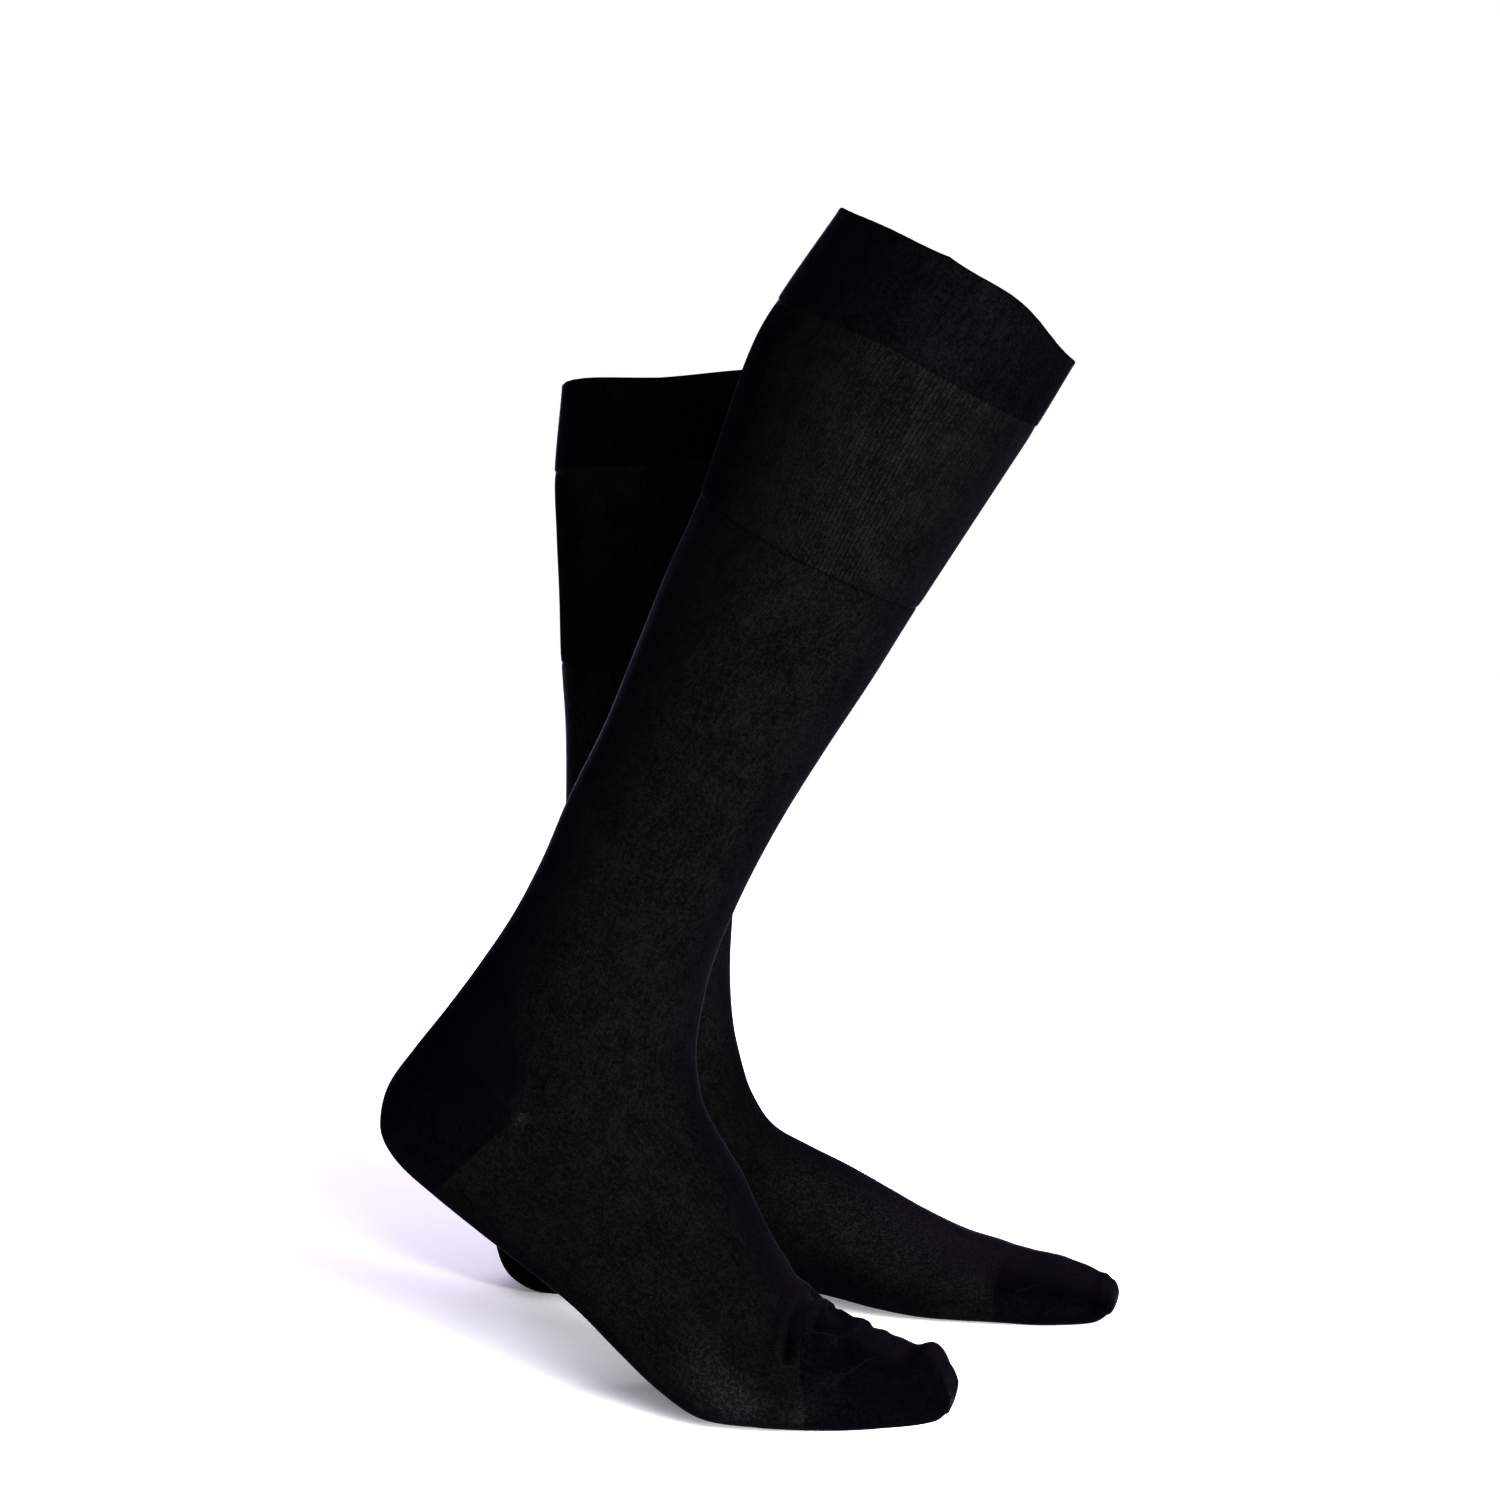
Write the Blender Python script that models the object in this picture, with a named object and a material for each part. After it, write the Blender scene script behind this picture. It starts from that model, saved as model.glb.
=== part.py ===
"""A pair of knee-high dress socks, knitted in the round, each holding the form of a leg in mid-step.

The left sock stands flat and its leg is upright. The right sock stands on its toes, with the heel raised and
the leg leaning forwards. Each sock is one knitted tube, made here as six walls that meet with a small gap:
welt, ribbed top, leg, heel pocket, foot and toe pocket. The mouth is open, and the inside is hollow all the
way down.

Sizes are in millimetres. s runs forwards towards the toes from a point on the floor under the ankle, z is the
height over the floor, and +Y is the wearer's left. The row's origin is the centre of the left sock's mouth.
"""

import math
from collections import namedtuple

import bmesh
import bpy
import numpy as np

METRE = 0.001

# The cloth
JERSEY_WALL = 1.3
WELT_WALL = 2.0
WELT_PROUD = 0.4
RIB_HEIGHT = 0.5
RIBS_ROUND = 176
SEAM_GAP = 0.3

# How finely a wall is divided: all of these count columns round the sock
COLUMNS = 2 * RIBS_ROUND
OUTER_STEP = 8
INNER_STEP = 16
GORE_COLUMNS = 4
QUARTER_SAMPLES = 48
FOOT_STEPS = 2

# A section is a ring round the sock, given by its front, side and back points in the sock's middle plane, its
# half widths on the outer and inner side of the leg, and how square its front and back halves are: 2 is round
Section = namedtuple(
    "Section",
    "name front_s front_z side_s side_z back_s back_z outer inner front_square back_square",
)

LEFT_LEG = (
    Section("rim", 62, 395.5, 10.5, 391, -41, 389, 51, 51, 2.0, 2.0),
    Section("welt_edge", 62.5, 357.5, 9, 355, -44.5, 352, 52, 52, 2.0, 2.0),
    Section("calf_1", 57.5, 330, 6.5, 328, -44, 326, 50.5, 50.5, 2.0, 2.0),
    Section("calf_2", 49.5, 303, 3, 301.5, -43, 300, 47.5, 47.5, 2.0, 2.0),
    Section("course", 43, 273, 0.5, 272, -42.5, 271, 43.5, 43.5, 2.0, 2.0),
    Section("shin_2", 38.5, 245, -1.5, 244.5, -41, 244, 40, 40, 2.0, 2.0),
    Section("shin_3", 35, 217, -3, 216, -41, 215, 37.5, 37.5, 2.0, 2.0),
    Section("shin_4", 32.5, 189, -5, 187, -42, 185, 36.5, 36.5, 2.0, 2.0),
    Section("ankle_1", 30, 162, -8, 158, -46, 154, 36, 36, 2.0, 2.0),
    Section("ankle_2", 29, 139, -12, 129, -51, 124, 35.5, 35.5, 2.0, 2.0),
    Section("ankle_3", 30.5, 117, -20, 91, -58, 96, 34, 34, 2.0, 2.0),
    Section("heel_top", 35, 98, -30, 49, -65, 67, 32, 32, 2.0, 2.0),
)
LEFT_HEEL = (
    Section("heel_1", 35, 98, -30, 49, -71, 51, 32, 32, 2.0, 2.0),
    Section("heel_2", 35, 98, -30, 49, -74, 36, 32, 32, 2.0, 2.1),
    Section("heel_3", 35, 98, -30, 49, -73, 19, 32, 32, 2.0, 2.3),
    Section("heel_4", 35, 98, -30, 49, -67, 6, 32, 32, 2.0, 2.6),
    Section("heel_5", 35, 98, -30, 49, -54, -1, 32, 32, 2.0, 3.0),
)
LEFT_FOOT = (
    Section("heel_end", 35, 98, -30, 49, -38, -1.5, 32, 32, 2.0, 3.4),
    Section("instep_1", 40, 85, -8, 40, -14, -0.5, 33.5, 31.5, 2.0, 3.6),
    Section("instep_2", 48.5, 73.2, 13, 32, 10, 5, 35, 31.5, 1.9, 3.8),
    Section("instep_3", 62.5, 65.6, 35, 27, 34, 8.5, 37.5, 33, 1.8, 4.0),
    Section("instep_4", 80.5, 57, 58, 23, 56, 9.3, 40.5, 36, 1.8, 4.0),
    Section("instep_5", 97.5, 47.3, 80, 18, 78, 6.5, 44, 40, 1.9, 3.7),
    Section("ball_outer", 113.3, 37.8, 101, 15, 99, 2.2, 46, 44, 2.0, 3.4),
    Section("ball_inner", 131, 28.8, 121, 13, 120, -0.7, 45, 45.5, 2.2, 3.2),
    Section("toe_line", 149.5, 23.4, 148.5, 11.5, 148.5, -1, 40, 44.5, 2.4, 3.4),
)
LEFT_TOE = (
    Section("toe_1", 165, 20.2, 166, 10.5, 166, -1.5, 33, 42, 2.5, 3.6),
    Section("toe_2", 180, 17, 181, 9.5, 181, -1, 24, 38.5, 2.5, 3.6),
    Section("toe_3", 187, 14.6, 188, 8.3, 188, -0.8, 18, 34, 2.6, 3.3),
    Section("toe_4", 190.5, 14.8, 191.1, 8, 191, 0, 12.5, 30.5, 2.5, 3.0),
    Section("toe_5", 193.3, 13, 193.6, 7.6, 193.4, 1.4, 8, 26.5, 2.3, 2.6),
)
LEFT_TIP = (196.2, 12, 7)

RIGHT_LEG = (
    Section("rim", 203.5, 394.5, 162, 429, 114.5, 450.5, 51, 51, 2.0, 2.0),
    Section("welt_edge", 189, 370, 142.5, 397.5, 92, 418, 52, 52, 2.0, 2.0),
    Section("calf", 173, 345, 127, 371, 80, 395, 51, 51, 2.0, 2.0),
    Section("course", 145.5, 302, 104, 323, 63.5, 345.5, 46, 46, 2.0, 2.0),
    Section("shin_1", 129, 275, 90, 296, 51, 316.5, 43, 43, 2.0, 2.0),
    Section("shin_2", 111.5, 248, 76, 268.5, 40, 288.5, 40, 40, 2.0, 2.0),
    Section("shin_3", 95, 221, 61.5, 240, 28, 258.5, 37.5, 37.5, 2.0, 2.0),
    Section("shin_4", 81.5, 195, 48.5, 213.5, 15, 231.5, 36.5, 36.5, 2.0, 2.0),
    Section("ankle_1", 71, 169.5, 37.5, 188, 4.5, 206.5, 36, 36, 2.0, 2.0),
    Section("ankle_2", 66.5, 151, 28.5, 168, -6.5, 185.5, 35.5, 35.5, 2.0, 2.0),
    Section("ankle_3", 64.5, 133, 16, 141, -19.5, 166, 34, 34, 2.0, 2.0),
    Section("heel_top", 67.5, 116, 3, 113, -32.5, 148.5, 32, 32, 2.0, 2.0),
)
RIGHT_HEEL = (
    Section("heel_1", 67.5, 116, 3, 113, -44, 134, 32, 32, 2.0, 2.0),
    Section("heel_2", 67.5, 116, 3, 113, -54, 120, 32, 32, 2.0, 2.1),
    Section("heel_3", 67.5, 116, 3, 113, -57, 108, 32, 32, 2.0, 2.3),
    Section("heel_4", 67.5, 116, 3, 113, -55.5, 99, 32, 32, 2.0, 2.6),
    Section("heel_5", 67.5, 116, 3, 113, -48, 89.5, 32, 32, 2.0, 3.0),
)
RIGHT_FOOT = (
    Section("heel_end", 67.5, 116, 3, 113, -34.5, 79, 32, 32, 2.0, 3.4),
    Section("instep_1", 74, 103, 17, 96, -16, 66, 33.5, 31.5, 2.0, 3.6),
    Section("instep_2", 83, 89, 33, 79, 4, 52.5, 35, 31.5, 1.9, 3.8),
    Section("instep_3", 88.5, 77, 48, 62, 23, 39.5, 37.5, 33, 1.8, 4.0),
    Section("instep_4", 94, 65.8, 62, 45, 40, 24.5, 40.5, 36, 1.8, 4.0),
    Section("instep_5", 98.5, 57.3, 76, 30, 56, 11.5, 44, 40, 1.9, 4.0),
    Section("ball_outer", 102.5, 50.3, 88, 20, 73, 2, 46, 44, 2.0, 4.0),
    Section("ball_inner", 105.8, 46, 100, 15, 95, 0, 45, 45.5, 2.2, 4.0),
    Section("toe_line", 109.5, 41.3, 114.5, 12.5, 114, -1, 40, 44.5, 2.4, 4.0),
)
RIGHT_TOE = (
    Section("toe_1", 124, 33, 130, 11, 130, -1.5, 33, 42, 2.5, 4.0),
    Section("toe_2", 137.5, 26.6, 141, 10.5, 141, -1.5, 27, 39, 2.5, 3.8),
    Section("toe_3", 145.5, 22.9, 149, 10.5, 149, -1.5, 22, 36.5, 2.5, 3.6),
    Section("toe_4", 152.5, 25, 155, 10.8, 154.5, -1.5, 17, 33, 2.5, 3.4),
    Section("toe_5", 156.6, 23.4, 158.5, 10.2, 158.5, -0.8, 12, 28.5, 2.4, 3.0),
    Section("toe_6", 158.6, 19.2, 161.2, 9, 161.2, 1.4, 7, 24, 2.2, 2.6),
)
RIGHT_TIP = (164, 12, 9.2)

# A fold is a soft trough along a line on one side of the foot, seen from that side, or a ridge where its depth is
# less than nothing. side is 1 for the outer side and -1 for the inner one, and width is how far from its line it
# has lost most of its depth.
Fold = namedtuple("Fold", "name side start_s start_z end_s end_z width depth")
FOLD_FADE = 14.0

LEFT_FOLDS = (
    Fold("ankle_inner", -1, 36, 96, 50, 76, 5, 1.2),
    Fold("ankle_outer", 1, 38, 92, 46, 80, 5, 1.0),
    Fold("toes_inner", -1, 126, 27, 140, 20, 4, 1.2),
    Fold("toes_outer", 1, 122, 26, 136, 18, 4, 1.0),
)
RIGHT_FOLDS = (
    Fold("bend_trough_outer", 1, 95, 50, 104, 26, 4.5, 2.2),
    Fold("bend_crease_outer", 1, 109, 44, 113, 30, 3, 2.4),
    Fold("toe_hook_outer", 1, 119, 40, 133, 34, 3.5, 1.8),
    Fold("bend_trough_inner", -1, 96, 48, 106, 28, 4.5, 2.0),
    Fold("bend_crease_inner", -1, 110, 42, 116, 28, 3, 2.0),
)

# A wave is a soft rise of the rim over its plain line, or a dip where its height is less than nothing. Its
# angle is in degrees round from the front by the outer side, and spread is how far round it has lost most of
# its height.
Wave = namedtuple("Wave", "angle spread height")

LEFT_WAVES = (
    Wave(35, 30, 0.8),
    Wave(150, 34, -0.6),
    Wave(188, 12, -1.2),
    Wave(228, 26, 1.1),
    Wave(276, 22, -0.6),
)
RIGHT_WAVES = (
    Wave(56, 26, 5.4),
    Wave(120, 30, 2.0),
    Wave(170, 30, 1.5),
    Wave(268, 24, -2.0),
    Wave(328, 26, -1.9),
)

Sock = namedtuple("Sock", "name x y outer_side lean leg heel foot toe tip folds waves")

# lean is how far the leg tips towards the other leg for each millimetre above ANKLE_HEIGHT
ANKLE_HEIGHT = 110.0
LEFT = Sock(
    "left", 0.0, 0.0, 1, 0.0, LEFT_LEG, LEFT_HEEL, LEFT_FOOT, LEFT_TOE, LEFT_TIP, LEFT_FOLDS, LEFT_WAVES
)
RIGHT = Sock(
    "right",
    -12.7,
    -181.4,
    -1,
    0.105,
    RIGHT_LEG,
    RIGHT_HEEL,
    RIGHT_FOOT,
    RIGHT_TOE,
    RIGHT_TIP,
    RIGHT_FOLDS,
    RIGHT_WAVES,
)
MOUTH_CENTRE = np.array([10.5, 0.0, 391.5])

# Colour, roughness of each zone's yarn
FINISH = {
    "welt": ((0.012, 0.012, 0.017, 1.0), 0.82),
    "top": ((0.02, 0.02, 0.021, 1.0), 0.78),
    "leg": ((0.02, 0.02, 0.021, 1.0), 0.78),
    "heel": ((0.011, 0.011, 0.016, 1.0), 0.85),
    "foot": ((0.02, 0.02, 0.021, 1.0), 0.78),
    "toe": ((0.011, 0.011, 0.016, 1.0), 0.85),
}


def clear_scene():
    for obj in list(bpy.data.objects):
        bpy.data.objects.remove(obj, do_unlink=True)


def finish_of(zone):
    """The zone's material, made once."""
    material = bpy.data.materials.get(zone)
    if material:
        return material
    material = bpy.data.materials.new(zone)
    material.use_nodes = True
    shader = material.node_tree.nodes["Principled BSDF"]
    colour, roughness = FINISH[zone]
    shader.inputs["Base Color"].default_value = colour
    shader.inputs["Roughness"].default_value = roughness
    shader.inputs["Metallic"].default_value = 0.0
    return material


def smoothed(sections, steps):
    """The sections' numbers as rows, with steps - 1 more between each two on a Catmull-Rom curve."""
    rows = np.array([section[1:] for section in sections], float)
    padded = np.vstack([2 * rows[0] - rows[1], rows, 2 * rows[-1] - rows[-2]])
    result = []
    for i in range(1, len(rows)):
        before, start, end, after = padded[i - 1 : i + 3]
        for step in range(steps):
            t = step / steps
            bend = (2 * before - 5 * start + 4 * end - after) * t**2
            twist = (3 * start - before - 3 * end + after) * t**3
            result.append(0.5 * (2 * start + (end - before) * t + bend + twist))
    result.append(rows[-1])
    return result


def quarter(sock, row, front, outwards):
    """One quarter of a ring, evenly spaced from its front or back point to its side."""
    front_point, side_point, back_point = row[0:2], row[2:4], row[4:6]
    half_width = row[6] if outwards else row[7]
    square = row[8] if front else row[9]
    reach = (front_point if front else back_point) - side_point
    angle = np.linspace(0, math.pi / 2, QUARTER_SAMPLES + 1)
    along = np.cos(angle).clip(0) ** (2 / square)
    across = np.sin(angle).clip(0) ** (2 / square)
    middle = side_point + along[:, None] * reach
    side = across * half_width * sock.outer_side * (1 if outwards else -1)
    tip_over = -sock.outer_side * sock.lean * np.clip(middle[:, 1] - ANKLE_HEIGHT, 0, None)
    height = middle[:, 1].clip(0)
    points = np.column_stack([sock.x + middle[:, 0], sock.y + side + tip_over, height])
    walked = np.concatenate([[0], np.cumsum(np.linalg.norm(np.diff(points, axis=0), axis=1))])
    even = np.linspace(0, walked[-1], COLUMNS // 4 + 1)
    return np.column_stack([np.interp(even, walked, points[:, axis]) for axis in range(3)])


def ring(sock, row):
    """COLUMNS points round the sock: front, outer side, back, inner side."""
    front_out = quarter(sock, row, True, True)
    back_out = quarter(sock, row, False, True)[::-1]
    back_in = quarter(sock, row, False, False)
    front_in = quarter(sock, row, True, False)[::-1]
    return np.vstack([front_out[:-1], back_out[:-1], back_in[:-1], front_in[:-1]])


def rings(sock, sections, steps=1):
    """A grid of rings through the sections, pressed in along the sock's folds."""
    grid = np.array([ring(sock, row) for row in smoothed(sections, steps)])
    normal = outward(sock, grid)
    for fold in sock.folds:
        grid = grid - fold_depth(sock, grid, fold)[..., None] * normal
    return grid


def outward(sock, grid):
    """Unit normals at a grid's points, pointing out of the sock."""
    along = np.gradient(grid, axis=0)
    around = np.roll(grid, -1, axis=1) - np.roll(grid, 1, axis=1)
    normal = np.cross(along, around) * sock.outer_side
    return normal / np.linalg.norm(normal, axis=2, keepdims=True).clip(1e-9)


def fold_depth(sock, grid, fold):
    """How far one fold presses in each point of a grid."""
    start = np.array([fold.start_s, fold.start_z])
    line = np.array([fold.end_s, fold.end_z]) - start
    seen = grid[..., [0, 2]] - [sock.x, 0] - start
    part = (seen @ line / (line @ line)).clip(0, 1)
    distance = np.linalg.norm(seen - part[..., None] * line, axis=-1)
    side = (grid[..., 1] - sock.y) * sock.outer_side * fold.side
    return fold.depth * np.exp(-((distance / fold.width) ** 2)) * (side / FOLD_FADE).clip(0, 1)


def waved(sock, leg):
    """The leg's rings with the waves in its rim."""
    upwards = (leg[0] - leg[1]).mean(axis=0)
    upwards = upwards / np.linalg.norm(upwards)
    angle = np.arange(COLUMNS) * 360 / COLUMNS
    rise = np.zeros(COLUMNS)
    for wave in sock.waves:
        apart = (angle - wave.angle + 180) % 360 - 180
        rise += wave.height * np.exp(-((apart / wave.spread) ** 2))
    leg = leg.copy()
    leg[0] += rise[:, None] * upwards
    return leg


def halves(front, back):
    """One ring whose front half comes from one ring and whose back half from another."""
    column = np.arange(COLUMNS)
    behind = (column > COLUMNS // 4) & (column < 3 * COLUMNS // 4)
    return np.where(behind[:, None], back, front)


def skins(sock):
    """The leg's, heel's and foot's outer points with their normals, which agree wherever two of them meet."""
    leg = waved(sock, rings(sock, sock.leg))
    heel = rings(sock, (sock.leg[-1],) + sock.heel + (sock.foot[0],))
    foot = rings(sock, sock.foot + sock.toe, FOOT_STEPS)
    leg_normal = outward(sock, np.vstack([leg, [halves(foot[1], heel[1])]]))[:-1]
    heel_normal = outward(sock, np.vstack([[leg[-2]], heel, [foot[1]]]))[1:-1]
    foot_normal = outward(sock, np.vstack([[halves(leg[-2], heel[-2])], foot]))[1:]
    return (leg, leg_normal), (heel, heel_normal), (foot, foot_normal)


def pulled_back(grid, first, last):
    """The grid with its first or last ring moved towards its neighbour by half a seam's gap."""
    grid = grid.copy()
    for end, neighbour, wanted in ((0, 1, first), (-1, -2, last)):
        if wanted:
            step = grid[neighbour] - grid[end]
            length = np.linalg.norm(step, axis=-1, keepdims=True)
            grid[end] = grid[end] + step * (SEAM_GAP / 2 / length.clip(SEAM_GAP))
    return grid


def add_loop(mesh, points, columns):
    """Vertices at the named columns of one ring, each with its column's number."""
    placed = (points - MOUTH_CENTRE) * METRE
    return [(column, mesh.verts.new(placed[column])) for column in columns]


def stitch(mesh, first, second, closed=True):
    """Faces between two rings, four-sided wherever both have the next column and three-sided elsewhere."""
    if closed:
        first = first + [(first[0][0] + COLUMNS, first[0][1])]
        second = second + [(second[0][0] + COLUMNS, second[0][1])]
    i = j = 0
    while i + 1 < len(first) or j + 1 < len(second):
        next_first = first[i + 1][0] if i + 1 < len(first) else math.inf
        next_second = second[j + 1][0] if j + 1 < len(second) else math.inf
        a, b = first[i][1], second[j][1]
        if next_first == next_second:
            mesh.faces.new((a, first[i + 1][1], second[j + 1][1], b))
            i, j = i + 1, j + 1
        elif next_first < next_second:
            mesh.faces.new((a, first[i + 1][1], b))
            i += 1
        else:
            mesh.faces.new((a, second[j + 1][1], b))
            j += 1


def close_with_point(mesh, loop, point):
    """A fan from one end ring to a single point."""
    end = mesh.verts.new((np.array(point) - MOUTH_CENTRE) * METRE)
    for (_, a), (_, b) in zip(loop, loop[1:] + loop[:1]):
        mesh.faces.new((a, b, end))


def add_object(name, zone, mesh):
    bmesh.ops.recalc_face_normals(mesh, faces=mesh.faces)
    if mesh.calc_volume(signed=True) < 0:
        bmesh.ops.reverse_faces(mesh, faces=mesh.faces)
    data = bpy.data.meshes.new(name)
    mesh.to_mesh(data)
    mesh.free()
    data.shade_smooth()
    data.set_sharp_from_angle(angle=math.radians(50))
    data.materials.append(finish_of(zone))
    bpy.context.scene.collection.objects.link(bpy.data.objects.new(name, data))


def tube_wall(sock, zone, outer, inner, outer_columns, tips=None):
    """A hollow stretch of the sock: an outer and an inner skin, joined at each open end."""
    mesh = bmesh.new()
    outer_loops = [add_loop(mesh, points, outer_columns) for points in outer]
    inner_loops = [add_loop(mesh, points, range(0, COLUMNS, INNER_STEP)) for points in inner]
    for loops in (outer_loops, inner_loops):
        for first, second in zip(loops, loops[1:]):
            stitch(mesh, first, second)
    stitch(mesh, outer_loops[0], inner_loops[0])
    if tips:
        close_with_point(mesh, outer_loops[-1], tips[0])
        close_with_point(mesh, inner_loops[-1], tips[1])
    else:
        stitch(mesh, outer_loops[-1], inner_loops[-1])
    add_object(f"{sock.name}_{zone}", zone, mesh)


def plain_columns():
    return range(0, COLUMNS, OUTER_STEP)


def add_welt(sock, grid, normal):
    """The doubled band, a little proud of the cloth below it."""
    outer = pulled_back(grid, False, True) + WELT_PROUD * normal
    tube_wall(sock, "welt", outer, outer - WELT_WALL * normal, plain_columns())


def add_ribbed_top(sock, grid, normal):
    """Every second column stands out as a rib, over a plain inside."""
    flat = pulled_back(grid, True, True)
    raised = RIB_HEIGHT * (np.arange(COLUMNS) % 2)[None, :, None]
    tube_wall(sock, "top", flat + raised * normal, flat - JERSEY_WALL * normal, range(COLUMNS))


def add_plain_tube(sock, zone, grid, normal):
    outer = pulled_back(grid, True, True)
    tube_wall(sock, zone, outer, outer - JERSEY_WALL * normal, plain_columns())


def add_heel(sock, grid, normal):
    """The pocket between the two gore points, which its rings all start from."""
    outer = pulled_back(grid, True, True)
    inner = outer - JERSEY_WALL * normal
    first = COLUMNS // 4 + GORE_COLUMNS
    last = 3 * COLUMNS // 4 - GORE_COLUMNS
    mesh = bmesh.new()
    patches = []
    for points, step in ((outer, OUTER_STEP), (inner, INNER_STEP)):
        between = [column for column in range(0, COLUMNS, step) if first < column < last]
        patches.append([add_loop(mesh, row, [first] + between + [last]) for row in points])
    for loops in patches:
        for one, other in zip(loops, loops[1:]):
            stitch(mesh, one, other, closed=False)
    for end in (0, -1):
        stitch(mesh, patches[0][end], patches[1][end], closed=False)
        outer_edge = [(row, loop[end][1]) for row, loop in enumerate(patches[0])]
        inner_edge = [(row, loop[end][1]) for row, loop in enumerate(patches[1])]
        stitch(mesh, outer_edge, inner_edge, closed=False)
    add_object(f"{sock.name}_heel", "heel", mesh)


def add_toe(sock, grid, normal):
    """The pocket that closes the sock, ending in one point outside and one inside."""
    outer = pulled_back(grid, True, False)
    s, towards_inner, z = sock.tip
    tip = np.array([sock.x + s, sock.y - sock.outer_side * towards_inner, z])
    tips = (tip, tip - [JERSEY_WALL, 0, 0])
    tube_wall(sock, "toe", outer, outer - JERSEY_WALL * normal, plain_columns(), tips)


def build_sock(sock):
    (leg, leg_normal), (heel, heel_normal), (foot, foot_normal) = skins(sock)
    names = [section.name for section in sock.leg]
    edge, course = names.index("welt_edge"), names.index("course")
    toe_line = (len(sock.foot) - 1) * FOOT_STEPS
    add_welt(sock, leg[: edge + 1], leg_normal[: edge + 1])
    add_ribbed_top(sock, leg[edge : course + 1], leg_normal[edge : course + 1])
    add_plain_tube(sock, "leg", leg[course:], leg_normal[course:])
    add_heel(sock, heel, heel_normal)
    add_plain_tube(sock, "foot", foot[: toe_line + 1], foot_normal[: toe_line + 1])
    add_toe(sock, foot[toe_line:], foot_normal[toe_line:])


def main():
    clear_scene()
    for sock in (LEFT, RIGHT):
        build_sock(sock)


main()
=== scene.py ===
"""Knitted cloth, stitches and studio for a pair of knee-high dress socks, worn in mid-step.

The form comes from the same sections as the walls that the cloth replaces, in millimetres: s runs
forwards towards the toes from a point on the floor under the ankle, z is the height over the
floor, and +Y is the wearer's left.
"""

import math
from collections import namedtuple

import bmesh
import bpy
import numpy as np
from bpy.props import FloatProperty, FloatVectorProperty, PointerProperty
from mathutils import Matrix, Vector


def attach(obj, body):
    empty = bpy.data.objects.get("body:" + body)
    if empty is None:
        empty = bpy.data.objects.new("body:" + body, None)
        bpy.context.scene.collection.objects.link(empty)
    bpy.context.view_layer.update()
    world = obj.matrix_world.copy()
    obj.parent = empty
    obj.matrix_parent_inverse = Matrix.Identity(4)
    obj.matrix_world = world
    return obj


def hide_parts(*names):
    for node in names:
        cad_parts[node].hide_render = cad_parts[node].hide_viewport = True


bl_info = {
    "name": "Dress Socks",
    "version": (1, 0, 0),
    "blender": (4, 5, 0),
    "location": "View3D > Sidebar > Socks",
    "description": "Knits knee-high dress socks over their walls and lights them in a pale studio",
    "category": "Object",
}

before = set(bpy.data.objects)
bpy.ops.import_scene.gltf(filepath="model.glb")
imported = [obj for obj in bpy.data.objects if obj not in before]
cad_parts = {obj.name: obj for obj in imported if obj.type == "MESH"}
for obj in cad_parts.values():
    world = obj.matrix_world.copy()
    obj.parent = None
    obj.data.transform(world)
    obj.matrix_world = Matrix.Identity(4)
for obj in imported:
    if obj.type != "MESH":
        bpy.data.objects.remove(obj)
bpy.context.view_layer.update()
# A millimetre, in metres
MM = 0.001

# The fine grid that every ring is placed on, and how many rings lie between two sections
COLUMNS = 352
QUARTER_SAMPLES = 64
SECTION_STEPS = 14
# Rings on the foot lie this far apart in millimetres, and closer where the toes crease
FOOT_STEP = 2.4
CREASED_STEP = 1.2
CREASED_FROM = "instep_5"


def table(kind, *rows):
    return tuple(kind(*row) for row in rows)


Section = namedtuple(
    "Section",
    "name front_s front_z side_s side_z back_s back_z outer inner front_square back_square",
    defaults=(2.0, 2.0),
)


def heel_sections(top, *backs):
    """Sections that turn on the gore points: only their back points and squareness differ."""
    return tuple(
        top._replace(name="heel", back_s=s, back_z=z, back_square=square) for s, z, square in backs
    )


LEFT_LEG = table(
    Section,
    ("rim", 62, 395.5, 10.5, 391, -41, 389, 51, 51),
    ("welt_edge", 62.5, 357.5, 9, 355, -44.5, 352, 52, 52),
    ("calf_1", 57.5, 330, 6.5, 328, -44, 326, 50.5, 50.5),
    ("calf_2", 49.5, 303, 3, 301.5, -43, 300, 47.5, 47.5),
    ("course", 43, 273, 0.5, 272, -42.5, 271, 43.5, 43.5),
    ("shin_2", 38.5, 245, -1.5, 244.5, -41, 244, 40, 40),
    ("shin_3", 35, 217, -3, 216, -41, 215, 37.5, 37.5),
    ("shin_4", 32.5, 189, -5, 187, -42, 185, 36.5, 36.5),
    ("ankle_1", 30, 162, -8, 158, -46, 154, 36, 36),
    ("ankle_2", 29, 139, -12, 129, -51, 124, 35.5, 35.5),
    ("ankle_3", 30.5, 117, -20, 91, -58, 96, 34, 34),
    ("heel_top", 35, 98, -30, 49, -65, 67, 32, 32),
)
LEFT_HEEL = heel_sections(
    LEFT_LEG[-1], (-71, 51, 2.0), (-74, 36, 2.1), (-73, 19, 2.3), (-67, 6, 2.6), (-54, -1, 3.0)
)
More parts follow.
